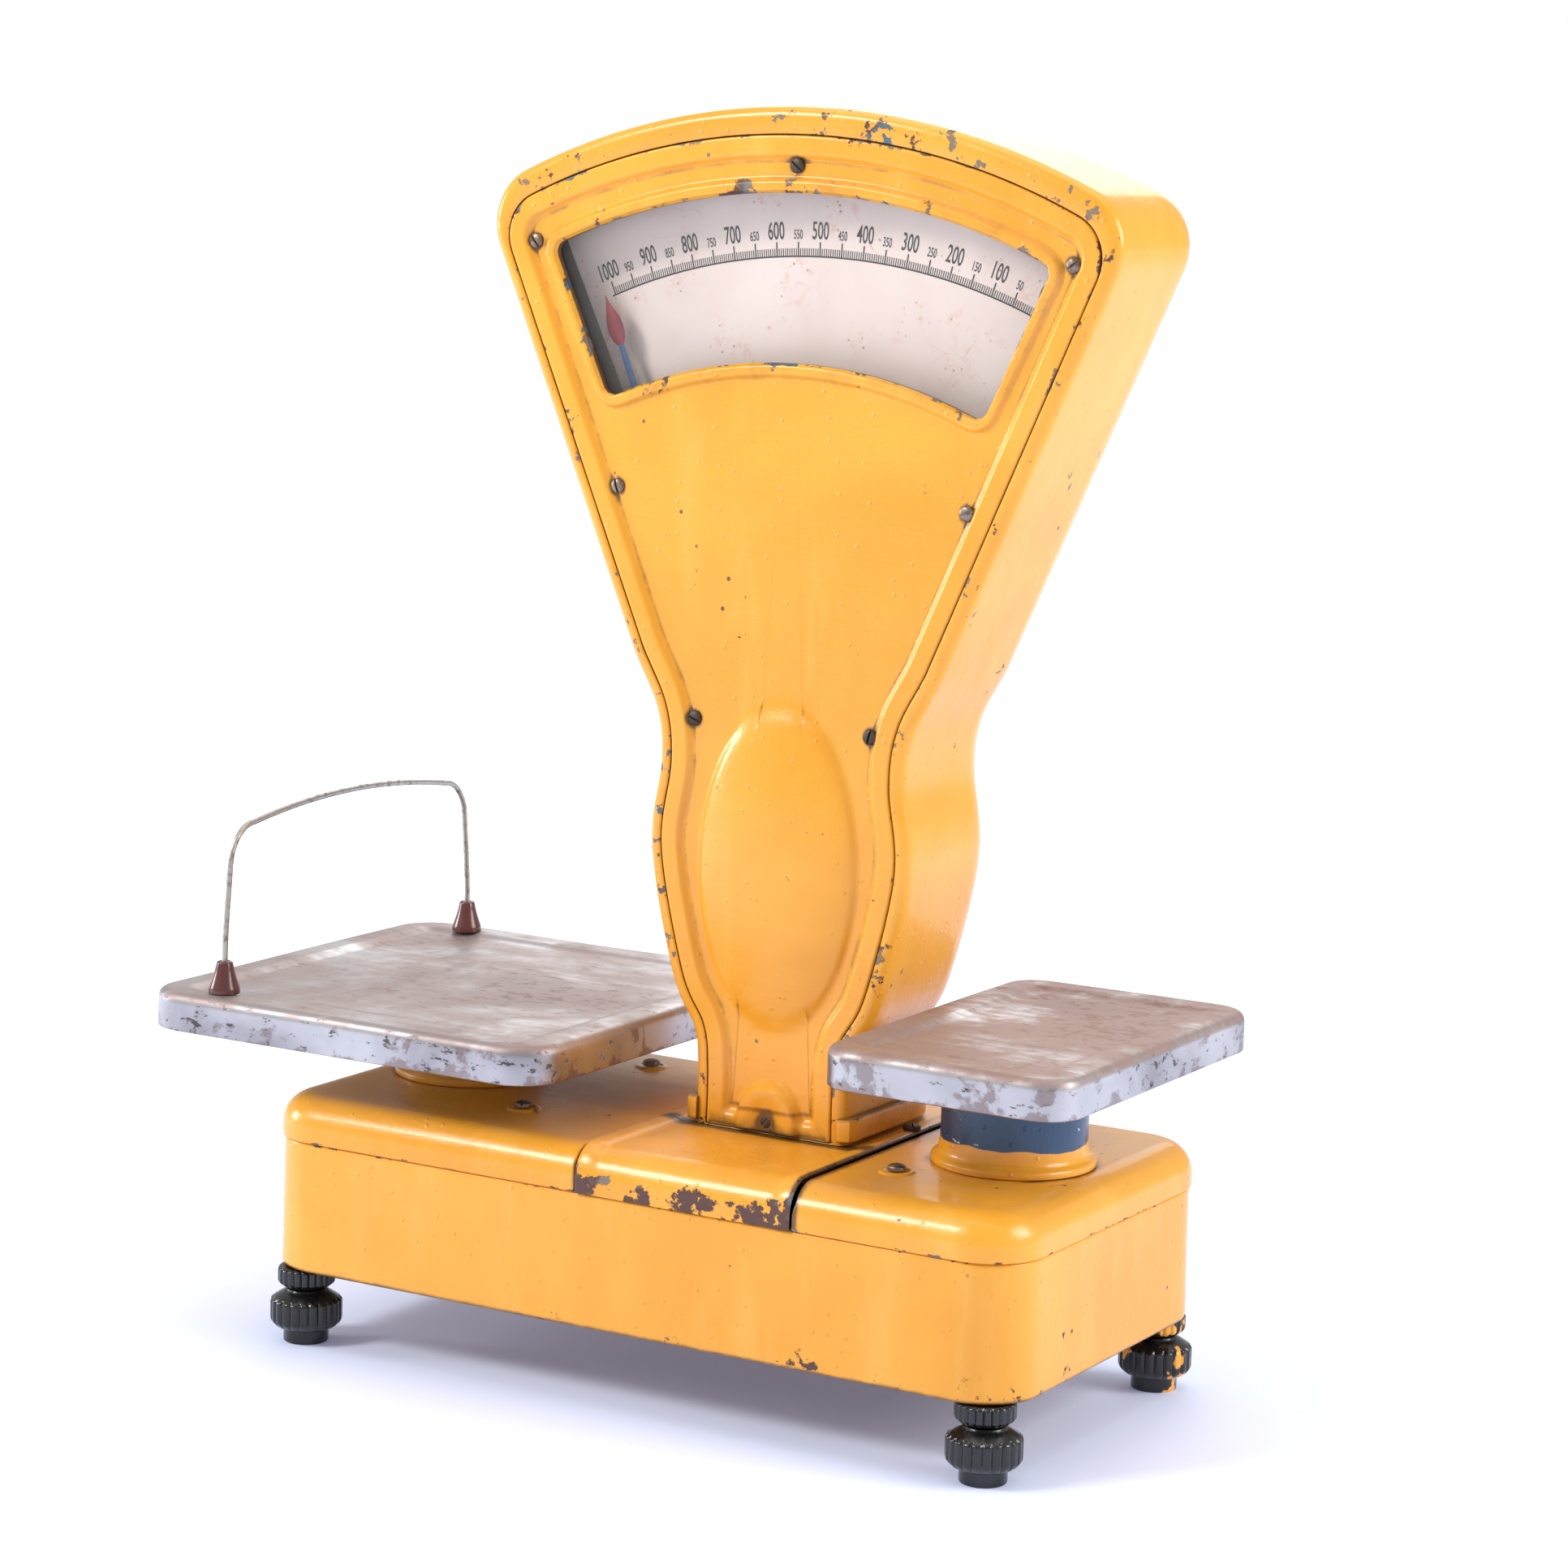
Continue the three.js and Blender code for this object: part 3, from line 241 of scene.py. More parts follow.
def tone(red, green, blue):
    # a screen colour from 0 to 255 as linear light: ((c + 0.055) / 1.055) ** 2.4 above the toe
    def channel(value):
        part = value / 255
        return part / 12.92 if part <= 0.04045 else ((part + 0.055) / 1.055) ** 2.4

    return tuple(channel(value) for value in (red, green, blue))


floorLook = {
    "span": 30.0,
    "near": 0.75,
    "far": 1.7,
    "glow": 0.62,
    "colour": (0.72, 0.78, 0.96),
    # painted light: a faint bluish glow on the floor round the scale, under its shadow
    "nearGlow": (0.14, 0.14, 0.22),
    "farGlow": (1, 0.96, 0.9),
}


def makeFloor():
    # pale paper with painted light: it glows faintly bluish near the middle, which lifts and tints its
    # shadow, and more with the distance from the middle, so that it fades into the backdrop
    span = floorLook["span"]
    corners = [(-span, -span, 0), (span, -span, 0), (span, span, 0), (-span, span, 0)]
    mesh = bpy.data.meshes.new("floor")
    mesh.from_pydata(corners, [], [(0, 1, 2, 3)])
    floor = bpy.data.objects.new("floor", mesh)
    bpy.context.scene.collection.objects.link(floor)
    paper = Finish("floorPaper")
    across, along, _ = paper.height()
    far = paper.step((across * across + along * along) ** 0.5, floorLook["near"], floorLook["far"])
    paper.set(Base_Color=floorLook["colour"], Roughness=0.9, Specular_IOR_Level=0.1)
    glow = paper.mix(far, floorLook["nearGlow"], floorLook["farGlow"])
    paper.set(Emission_Color=glow, Emission_Strength=floorLook["glow"])
    mesh.materials.append(paper.material)


makeFloor()


enamelLook = {
    "body": tone(240, 168, 48),
    "deep": tone(228, 153, 30),
    "pale": tone(248, 184, 80),
    "undercoat": tone(72, 98, 112),
    "greyCoat": tone(122, 110, 96),
    "rust": tone(84, 52, 42),
    # dark brown for grime, and for the painted shade inside the head
    "grimeAndShade": tone(42, 24, 12),
    "blueBand": tone(18, 60, 96),
    "dust": tone(196, 148, 96),
    "paleDust": tone(212, 178, 146),
    "gloss": 0.27,
    "chipLevel": 0.66,
}


def enamel(name, chips=1.0, grimeAndShade=0.0, blueAbove=None, worn=0.0, rusty=0.0, seed=0.0):
    # brushed yellow enamel over a blue coat; chips gather where the wear attribute is high
    look = enamelLook
    paint = Finish(name)
    shift = (seed, seed * 0.7, -seed)
    broad = paint.noise(7, 3, 0.6, 0.4, offset=shift)
    strokes = paint.noise(34, 4, 0.6, 0.3, stretch=(1, 1, 0.18), offset=shift)
    sideways = paint.noise(60, 4, 0.6, 0.3, stretch=(0.2, 1, 1), offset=shift)
    colour = paint.mix(paint.step(broad, 0.3, 0.72), look["deep"], look["body"])
    colour = paint.mix(paint.step(strokes, 0.5, 0.8) * 0.5, colour, look["pale"])
    wear = paint.attribute("wear")
    blots = paint.noise(70, 5, 0.65, 0.2, offset=shift)
    fine = paint.noise(260, 4, 0.6, 0.0, offset=shift)
    patches = paint.noise(15, 2, 0.5, 0.0, offset=shift)
    level = blots * 0.62 + fine * 0.2 + patches * 0.18 + wear * (0.12 * chips)
    chipped = paint.step(level, look["chipLevel"] - 0.012, look["chipLevel"] + 0.012)
    specks = paint.step(paint.cells(60, offset=shift), 0.075, 0.05) * paint.step(patches, 0.56, 0.62)
    chipped = chipped.most(specks * 0.9)
    greyed = paint.step(paint.noise(19, 2, 0.5, 0.0, offset=shift), 0.40, 0.47)
    under = paint.mix(greyed, look["undercoat"], look["greyCoat"])
    rustLevel = 0.50 - 0.14 * rusty
    rusted = paint.step(paint.noise(37, 3, 0.6, 0.0, offset=shift), rustLevel, rustLevel + 0.08)
    under = paint.mix(rusted, under, look["rust"])
    halo = paint.step(level, look["chipLevel"] - 0.035, look["chipLevel"] - 0.01) * 0.35
    colour = paint.mix(halo, colour, look["deep"])
    if blueAbove is not None:
        height = paint.height()[2]
        wave = paint.noise(26, 2, 0.5, 0.0) * (9 * mm)
        blue = paint.step(height + wave, blueAbove + 4.4 * mm, blueAbove + 4.9 * mm)
        colour = paint.mix(blue, colour, look["blueBand"])
        pits = paint.step(paint.noise(90, 3, 0.6, 0.3, stretch=(1, 1, 2)), 0.66, 0.69)
        colour = paint.mix(blue * pits, colour, tone(206, 206, 206))
    # where the grime attribute is high the paint turns dark brown: grime on most parts, and painted shade on
    # the inner walls of the head
    if grimeAndShade > 0:
        dirtAndShade = paint.attribute("grimeAndShade") * grimeAndShade
        cover = paint.step(dirtAndShade + paint.noise(60, 5, 0.7, 0.3) * 0.6, 0.52, 1.0)
        colour = paint.mix(cover * 0.85, colour, look["grimeAndShade"])
    dull = paint.attribute("top") * worn
    if worn > 0:
        streaks = paint.step(paint.noise(40, 5, 0.7, 0.2, stretch=(0.5, 1.6, 1)), 0.35, 0.7)
        dusty = paint.mix(streaks, look["dust"], look["paleDust"])
        colour = paint.mix(dull * paint.step(paint.noise(12, 4, 0.6, 0.3), 0.42, 0.68) * 0.5, colour, dusty)
    colour = paint.mix(chipped, colour, under)
    peel = paint.noise(420, 2, 0.5) * 0.10
    ripples = strokes * 0.45 + sideways * 0.4 + broad * 0.3
    pimples = paint.step(paint.cells(120), 0.16, 0.03)
    relief = ripples + peel - chipped * 0.5 + pimples * 0.3
    paint.set(Base_Color=colour, Roughness=look["gloss"] + chipped * 0.35 + fine * 0.1 + dull * 0.15)
    paint.set(Coat_Weight=0.25, Coat_Roughness=0.12, Specular_IOR_Level=0.5)
    return paint.bump(relief, 0.0015, 0.8).material


panLook = {
    "metal": tone(190, 188, 190),
    "dim": tone(142, 138, 142),
    "film": tone(152, 130, 124),
    "stain": tone(108, 80, 68),
    "pit": tone(58, 52, 50),
}


def panMetal(name, brown=1.0, seed=0.0):
    # worn aluminium: a brown film on the top, peeled bright patches and dark pits on the skirt
    look = panLook
    metal = Finish(name)
    shift = (seed, -seed, 0.3 * seed)
    top = metal.attribute("top")
    skirt = metal.attribute("skirt")
    broad = metal.noise(9, 4, 0.6, 0.6, offset=shift)
    patch = metal.noise(36, 6, 0.66, 0.4, offset=shift)
    streak = metal.noise(80, 5, 0.62, 0.2, stretch=(0.22, 1.5, 1), offset=shift)
    colour = metal.mix(metal.step(broad, 0.35, 0.7), look["metal"], look["dim"])
    film = top * metal.step(broad * 0.45 + patch * 0.35 + streak * 0.2, 0.36, 0.54) * brown
    colour = metal.mix(film * 0.85, colour, look["film"])
    spots = metal.step(patch * 0.6 + streak * 0.4, 0.6, 0.66) * top
    colour = metal.mix(spots * 0.7, colour, look["stain"])
    pitLevel = metal.noise(150, 5, 0.7, 0.1, stretch=(0.6, 1, 1.4), offset=shift) * 0.75 + broad * 0.25
    pits = metal.step(pitLevel, 0.56, 0.60)
    colour = metal.mix(pits * skirt * 0.85, colour, look["pit"])
    rust = metal.noise(60, 5, 0.65, 0.3, offset=shift) + metal.attribute("edge") * 0.14
    tint = metal.step(rust, 0.56, 0.64) * skirt
    colour = metal.mix(tint * 0.55, colour, look["stain"])
    roughness = 0.26 + broad * 0.16 + film * 0.22 + pits * 0.25
    metal.set(Base_Color=colour, Metallic=1 - film * 0.4 - pits * skirt * 0.35, Roughness=roughness)
    scratches = metal.noise(300, 3, 0.6, 0.0, stretch=(0.05, 1, 1), offset=shift)
    relief = broad * 0.5 + scratches * 0.08 - pits * 0.25 + metal.noise(60, 3) * 0.16
    return metal.bump(relief, 0.0006, 0.6).material


def steel(name, colour, roughness=0.35, rust=0.0):
    metal = Finish(name)
    blots = metal.noise(240, 4, 0.6, 0.2)
    grain = metal.noise(900, 3, 0.6)
    stained = metal.step(blots, 0.5, 0.66) * rust
    metal.set(Base_Color=metal.mix(stained, colour, tone(82, 54, 38)), Metallic=1 - stained * 0.7)
    metal.set(Roughness=roughness + blots * 0.2 + stained * 0.3)
    return metal.bump(blots * 0.6 + grain * 0.3, 0.0003, 0.6).material


def phenolic(name, colour, splashes=False):
    # moulded plastic with fine scratches and patches of dust
    moulding = Finish(name)
    haze = moulding.noise(55, 4, 0.6, 0.3)
    scratch = moulding.noise(500, 3, 0.6, 0.0, stretch=(1, 1, 0.08))
    dust = moulding.step(haze, 0.55, 0.75)
    body = moulding.mix(dust * 0.05, colour, tone(130, 118, 100))
    if splashes:
        drops = moulding.step(moulding.noise(48, 3, 0.55, 0.1), 0.56, 0.58)
        body = moulding.mix(drops, body, enamelLook["body"])
    moulding.set(Base_Color=body, Roughness=0.2 + dust * 0.2 + scratch * 0.12)
    moulding.set(Coat_Weight=0.3, Coat_Roughness=0.1)
    return moulding.bump(scratch * 0.3 + haze * 0.5, 0.0003, 0.5).material


def castPaint(name):
    casting = Finish(name)
    grain = casting.noise(380, 4, 0.65)
    broad = casting.noise(30, 3, 0.6, 0.3)
    body = casting.mix(casting.step(broad, 0.4, 0.7), tone(74, 78, 82), tone(96, 90, 82))
    casting.set(Base_Color=body, Roughness=0.5 + grain * 0.25, Metallic=0.25)
    return casting.bump(grain, 0.0006, 0.7).material


def dialEnamel(name):
    # cream enamel with veins and blots of rust
    plate = Finish(name)
    broad = plate.noise(12, 3, 0.6, 0.3)
    cluster = plate.step(plate.noise(24, 3, 0.6, 0.2, offset=(0.3, 0, 0.1)), 0.50, 0.64)
    blot = plate.step(plate.noise(130, 5, 0.7, 0.2), 0.50, 0.66) * cluster
    dots = plate.step(plate.cells(230, offset=(0.2, 0, 0.6)), 0.2, 0.12) * cluster
    cracks = plate.step(plate.cells(70, "DISTANCE_TO_EDGE"), 0.012, 0.004) * plate.step(broad, 0.5, 0.6)
    body = plate.mix(plate.step(broad, 0.3, 0.75), tone(232, 214, 204), tone(220, 200, 188))
    body = plate.mix(blot * 0.5, body, tone(212, 150, 118))
    body = plate.mix(dots * 0.7, body, tone(150, 92, 66))
    body = plate.mix(cracks * 0.22, body, tone(130, 112, 104))
    plate.set(Base_Color=body, Roughness=0.38 + blot * 0.2)
    return plate.bump(plate.noise(50, 3) * 0.4 - blot * 0.3, 0.0004, 0.4).material


def plainPaint(name, colour, roughness=0.4, metallic=0.0):
    paint = Finish(name)
    mottling = paint.noise(120, 4, 0.6, 0.2)
    darker = tuple(part * 0.7 for part in colour)
    body = paint.mix(paint.step(mottling, 0.35, 0.7), darker, colour)
    paint.set(Base_Color=body, Roughness=roughness + mottling * 0.15, Metallic=metallic)
    return paint.bump(mottling, 0.0002, 0.5).material


def clearGlass(name):
    glass = Finish(name)
    smear = glass.noise(20, 4, 0.6, 0.5)
    glass.set(Base_Color=(0.9, 0.94, 0.93), Roughness=0.02 + smear * 0.05, Alpha=0.02 + smear * 0.03)
    return glass.set(Specular_IOR_Level=0.4).material


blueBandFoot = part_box("left_neck")[1].z - 20 * mm

paints = {
    "lids": enamel("lidEnamel", chips=1.0, grimeAndShade=1.0, worn=0.8, seed=0.3),
    "centre": enamel("centreCoverEnamel", chips=1.35, grimeAndShade=1.0, worn=0.6, rusty=1.0, seed=1.1),
    "housing": enamel("housingEnamel", chips=0.9, grimeAndShade=0.8, rusty=0.7, seed=2.0),
    "head": enamel("headEnamel", chips=1.0, grimeAndShade=0.8, seed=3.1),
    "cover": enamel("coverEnamel", chips=1.05, grimeAndShade=0.8, seed=4.4),
    "collar": enamel("collarEnamel", chips=1.0, grimeAndShade=1.0, seed=5.2),
    "necks": enamel("neckEnamel", chips=0.6, grimeAndShade=0.8, blueAbove=blueBandFoot, seed=0.0),
    "goodsPan": panMetal("goodsPanMetal", 0.8, 0.0),
    "weightsPan": panMetal("weightsPanMetal", 1.3, 2.3),
    "screw": steel("screwSteel", tone(140, 124, 110), 0.3, 0.7),
    "oldScrew": steel("oldScrewSteel", tone(86, 78, 70), 0.45, 0.8),
    "wire": steel("wireSteel", tone(176, 172, 166), 0.3, 0.55),
    "phenolic": phenolic("blackPhenolic", tone(12, 11, 11)),
    "splashedPhenolic": phenolic("splashedPhenolic", tone(12, 11, 11), True),
    "brown": phenolic("brownPhenolic", tone(86, 40, 38)),
    "casting": castPaint("greyCasting"),
    "dial": dialEnamel("dialEnamel"),
    "ink": plainPaint("dialInk", tone(38, 36, 38), 0.5),
    "blue": plainPaint("pointerBlue", tone(44, 84, 130), 0.35, 0.2),
    "red": plainPaint("pointerRed", tone(140, 14, 28), 0.35, 0.1),
    "glass": clearGlass("clearGlass"),
}
print("materials made")


def gridFaces(rows, columns, closedRows=False, closedColumns=True):
    # the four corners of each cell of a grid of points, as indices
    rowCells = rows if closedRows else rows - 1
    columnCells = columns if closedColumns else columns - 1
    row, column = np.meshgrid(np.arange(rowCells), np.arange(columnCells), indexing="ij")
    nextRow = (row + 1) % rows
    nextColumn = (column + 1) % columns
    here, below = row * columns, nextRow * columns
    corners = [here + column, here + nextColumn, below + nextColumn, below + column]
    return np.stack(corners, -1).reshape(-1, 4)


def meshPiece(name, points, faces, values=None, sharp=34):
    # points in metres; values are named numbers, one for each point
    mesh = bpy.data.meshes.new(name)
    mesh.from_pydata(np.asarray(points, float).reshape(-1, 3), [], [tuple(face) for face in faces])
    mesh.validate()
    for key, numbers in (values or {}).items():
        layer = mesh.attributes.new(key, "FLOAT", "POINT")
        layer.data.foreach_set("value", np.asarray(numbers, np.float32).ravel())
    outside(mesh)
    mesh.polygons.foreach_set("use_smooth", np.ones(len(mesh.polygons), bool))
    mesh.set_sharp_from_angle(angle=math.radians(sharp))
    piece = bpy.data.objects.new(name, mesh)
    bpy.context.scene.collection.objects.link(piece)
    return piece


def outside(mesh):
    # turns the faces round if the volume that they enclose is negative: it is a sixth of the summed
    # triple products of each face's corners
    mesh.calc_loop_triangles()
    corner = np.empty(len(mesh.loop_triangles) * 3, np.int32)
    mesh.loop_triangles.foreach_get("vertices", corner)
    place = np.empty(len(mesh.vertices) * 3, np.float32)
    mesh.vertices.foreach_get("co", place)
    a, b, c = place.reshape(-1, 3)[corner.reshape(-1, 3)].astype(float).transpose(1, 0, 2)
    if np.einsum("ij,ij->", a, np.cross(b, c)) < 0:
        mesh.flip_normals()


def settle(piece, paint, body, slot, *nodes):
    piece.data.materials.append(paints[paint])
    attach(piece, body)
    if nodes:
        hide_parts(*nodes)
    return piece


def fillet(path, radii, steps=5):
    # rounds the corners of an open path of points: each corner becomes a quadratic curve between two
    # points one radius away from it along its two sides
    path = np.asarray(path, float)
    made = [path[0]]
    for i in range(1, len(path) - 1):
        before = path[i - 1] - path[i]
        after = path[i + 1] - path[i]
        reach = min(radii[i], 0.49 * np.linalg.norm(before), 0.49 * np.linalg.norm(after))
        if reach <= 0:
            made.append(path[i])
            continue
        start = path[i] + before / np.linalg.norm(before) * reach
        end = path[i] + after / np.linalg.norm(after) * reach
        for t in np.linspace(0, 1, steps + 1):
            made.append((1 - t) ** 2 * start + 2 * t * (1 - t) * path[i] + t * t * end)
    made.append(path[-1])
    return np.array(made)


def turnedPiece(name, profile, centre, segments=64, values=None, ribs=None, sharp=34):
    # a profile of (radius, height) turned about Z; its ends lie on the axis or it is a closed ring
    profile = np.asarray(profile, float)
    ring = profile[0, 0] > 1e-6
    if ring and np.allclose(profile[0], profile[-1]):
        profile = profile[:-1]
    inner = profile if ring else profile[1:-1]
    angle = np.linspace(0, 2 * np.pi, segments, endpoint=False)
    radius = inner[:, :1] * np.ones_like(angle)
    if ribs is not None:
        radius = ribs(radius, inner[:, 1:2], angle)
    points = np.stack([radius * np.cos(angle), radius * np.sin(angle), inner[:, 1:2] + 0 * radius], -1)
    faces = list(gridFaces(len(inner), segments, closedRows=ring))
    points = points.reshape(-1, 3)
    if not ring:
        count = len(points)
        points = np.vstack([points, [0, 0, profile[0, 1]], [0, 0, profile[-1, 1]]])
        last = (len(inner) - 1) * segments
        around = np.arange(segments)
        following = (around + 1) % segments
        faces += list(zip(following, around, np.full(segments, count)))
        faces += list(zip(last + around, last + following, np.full(segments, count + 1)))
    made = {key: numbers(points) for key, numbers in (values or {}).items()}
    return meshPiece(name, points * mm + np.asarray(centre), faces, made, sharp)


def roundedLoop(low, high, radii, steps=10):
    # a rectangle from low to high whose four corners are arcs; radii start at +X +Y and go round
    points = []
    signs = [(1, 1), (-1, 1), (-1, -1), (1, -1)]
    for quarter, ((sideX, sideY), radius) in enumerate(zip(signs, radii)):
        angle = (quarter + np.linspace(0, 1, steps + 1)) * np.pi / 2
        x = (high[0] - radius if sideX > 0 else low[0] + radius) + radius * np.cos(angle)
        y = (high[1] - radius if sideY > 0 else low[1] + radius) + radius * np.sin(angle)
        points.append(np.stack([x, y], -1))
    return np.vstack(points)


def loopsPiece(name, loops, values=None, closed=False, sharp=34):
    # loops of the same number of points skinned in order; open ends are closed by a face each
    loops = np.asarray(loops, float)
    rows, columns = loops.shape[:2]
    faces = [tuple(face) for face in gridFaces(rows, columns, closedRows=closed)]
    if not closed:
        faces.append(tuple(range(columns))[::-1])
        faces.append(tuple(range((rows - 1) * columns, rows * columns)))
    return meshPiece(name, loops * mm, faces, values, sharp)


coverSeat = 2.9  # from the face of the cover's flange to the front of the casing
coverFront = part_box("head_casing")[0].y / mm - coverSeat
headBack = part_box("head_casing")[1].y / mm
pivotX, pivotZ = pivot[0] / mm, pivot[2] / mm
screwBoxes = [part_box(f"cover_screw_{i + 1}") for i in range(8)]
screwSpots = np.array([((low.x + high.x) / 2 / mm, (low.z + high.z) / 2 / mm) for low, high in screwBoxes])
screwSpots -= (pivotX, pivotZ)

headShape = {
    "foot": -130.5,
    "ankle": 36.3,
    "ankleDrop": 100.0,
    "belly": (67.4, 9.4),
    "waist": (62.8, 54.0),
    "flankOffset": 30.5,
    "flankAngle": 23.4,
    "flankStart": 134.9,
    "corner": 22.0,
    "topRadius": 369.0,
    "windowInner": 258.0,
    "windowOuter": 341.0,
    "windowHalfAngle": 24.5,
    "windowCorner": 6.0,
    "hub": 300.0,  # the height in the window that the panel's rows run towards
}


def smooth(value, low, high):
    # 0 at low, 1 at high and 3t² - 2t³ between them
    t = np.clip((np.asarray(value, float) - low) / (high - low), 0, 1)
    return t * t * (3 - 2 * t)


def catmullRom(knots, count):
    # a uniform Catmull-Rom curve through all the knots but the last, and its unit tangents
    knots = np.asarray(knots, float)
    last = len(knots) - 1
    t = np.linspace(0, last - 1, count)
    i = np.minimum(t.astype(int), last - 1)
    f = (t - i)[:, None]
    p0, p1, p2, p3 = (knots[np.clip(i + k, 0, last)] for k in (-1, 0, 1, 2))
    a, b = (p2 - p0) / 2, (p3 - p1) / 2
    cube = 2 * p1 - 2 * p2 + a + b
    square = 3 * p2 - 3 * p1 - 2 * a - b
    place = ((cube * f + square) * f + a) * f + p1
    slope = (3 * cube * f + 2 * square) * f + a
    return place, slope / np.linalg.norm(slope, axis=1)[:, None]


def headRing(sideInset, topInset=None, footInset=None):
    # the head's outline about the shaft, anticlockwise from the middle of its foot: a straight ankle, a
    # curve round the belly and the waist, a straight flank, a round corner and an arc about the shaft,
    # each moved inwards along its normal; the number of points is the same for every inset
    topInset = sideInset if topInset is None else topInset
    footInset = max(sideInset, 0) if footInset is None else footInset
    s = headShape
    lean = math.radians(s["flankAngle"])
    along = np.array([math.sin(lean), math.cos(lean)])
    outward = np.array([math.cos(lean), -math.sin(lean)])
    drop, (bellyHalf, bellyRise), (waistHalf, waistRise) = s["ankleDrop"], s["belly"], s["waist"]
    shoulder = outward * s["flankOffset"] + along * s["flankStart"]
    spread = bellyHalf - s["ankle"]
    knots = [
        (s["ankle"], s["foot"]),
        (s["ankle"], -drop),
        (s["ankle"] + 0.1 * spread, -0.79 * drop),
        (s["ankle"] + 0.54 * spread, -0.53 * drop),
        (bellyHalf, bellyRise),
        (waistHalf, waistRise),
        ((waistHalf + shoulder[0]) / 2 - 5.5, (waistRise + shoulder[1]) / 2),
        tuple(shoulder),
        tuple(shoulder + along * 30),
    ]
    side, tangent = catmullRom(knots, 118)
    side = side + np.stack([-tangent[:, 1], tangent[:, 0]], -1) * sideInset
    side[:, 1] = np.maximum(side[:, 1], s["foot"] + footInset)
    side[0] = (s["ankle"] - sideInset, s["foot"] + footInset)
    topRadius = s["topRadius"] - topInset
    corner = max(s["corner"] - sideInset, 3)
    reach, inset = topRadius - corner, s["flankOffset"] - sideInset - corner
    centre = outward * inset + along * math.sqrt(reach * reach - inset * inset)
    start, end = math.pi / 2 + lean, math.atan2(centre[0], centre[1])
    turn = np.linspace(start, end, 15)
    arc = centre + corner * np.stack([np.sin(turn), np.cos(turn)], -1)
    flank = side[-1] + (arc[0] - side[-1]) * np.linspace(0, 1, 66)[1:-1, None]
    crown = end * np.linspace(1, 0, 62)[1:, None]
    top = topRadius * np.hstack([np.sin(crown), np.cos(crown)])
    bottom = np.stack([np.linspace(0, side[0, 0], 30)[:-1], np.full(29, side[0, 1])], -1)
    half = np.vstack([bottom, side, flank, arc, top])
    return np.vstack([half, (half * (-1, 1))[-2:0:-1]])


def windowRing(angles, grow):
    # the window's edge, grown all round, where rays from the hub at these angles from straight down meet
    # it: arcs about the shaft, straight ends along rays from the shaft, and round corners
    s = headShape
    inner, outer = s["windowInner"] - grow, s["windowOuter"] + grow
    corner = s["windowCorner"] + max(grow, 0)
    half = math.radians(s["windowHalfAngle"]) + grow / s["windowOuter"]
    innerTurn, outerTurn = math.asin(corner / (inner + corner)), math.asin(corner / (outer - corner))

    def arc(centre, radius, start, end, count):
        turn = np.linspace(start, end, count)
        return centre + radius * np.stack([np.sin(turn), np.cos(turn)], -1)

    def spot(angle, radius):
        return radius * np.array([math.sin(angle), math.cos(angle)])

    low = spot(half - innerTurn, inner + corner)
    high = spot(half - outerTurn, outer - corner)
    parts = [
        arc(np.zeros(2), inner, 0, half - innerTurn, 200)[:-1],
        arc(low, corner, half - innerTurn + math.pi, half + math.pi / 2, 30),
        arc(high, corner, half + math.pi / 2, half - outerTurn, 30),
        arc(np.zeros(2), outer, half - outerTurn, 0, 200)[1:],
    ]
    start, end = parts[1][-1], parts[2][0]
    parts.insert(2, start + (end - start) * np.linspace(0, 1, 90)[1:-1, None])
    right = np.vstack(parts)
    ray = np.arctan2(right[:, 0], s["hub"] - right[:, 1])
    order = np.argsort(ray)
    reach = np.hypot(right[:, 0], s["hub"] - right[:, 1])
    distance = np.interp(np.abs(angles), ray[order], reach[order])
    return np.stack([distance * np.sin(angles), s["hub"] - distance * np.cos(angles)], -1)


def rayAngles(ring):
    return np.arctan2(ring[:, 0], headShape["hub"] - ring[:, 1])


def headPiece(name, rings, heights, wear, grimeAndShade):
    # a closed skin over rows of (x, z) points about the shaft, each row at its own depth
    points = np.empty((len(rings), len(rings[0]), 3))
    for row, (ring, height) in enumerate(zip(rings, heights)):
        points[row, :, 0] = ring[:, 0] + pivotX
        points[row, :, 1] = height
        points[row, :, 2] = ring[:, 1] + pivotZ
    faces = gridFaces(len(rings), len(rings[0]), closedRows=True)
    return meshPiece(name, points * mm, faces, {"wear": np.stack(wear), "grimeAndShade": np.stack(grimeAndShade)}, 40)


coverShape = {
    "sheet": 2.6,
    "edgeRound": 1.3,
    "stepStart": 8.4,
    "stepEnd": 12.6,
    "step": 3.0,
    "bulgeHalf": (47.0, 84.0),
    "bulgeRise": 5.0,
    "bulgeHeight": 10.0,
    "bossRadius": 17.5,
    "footBand": 8.0,
    "bossHeight": -123.0,
    "bossExtra": 3.4,
    "rimWidth": 7.5,
    "rimHeight": 2.6,
}


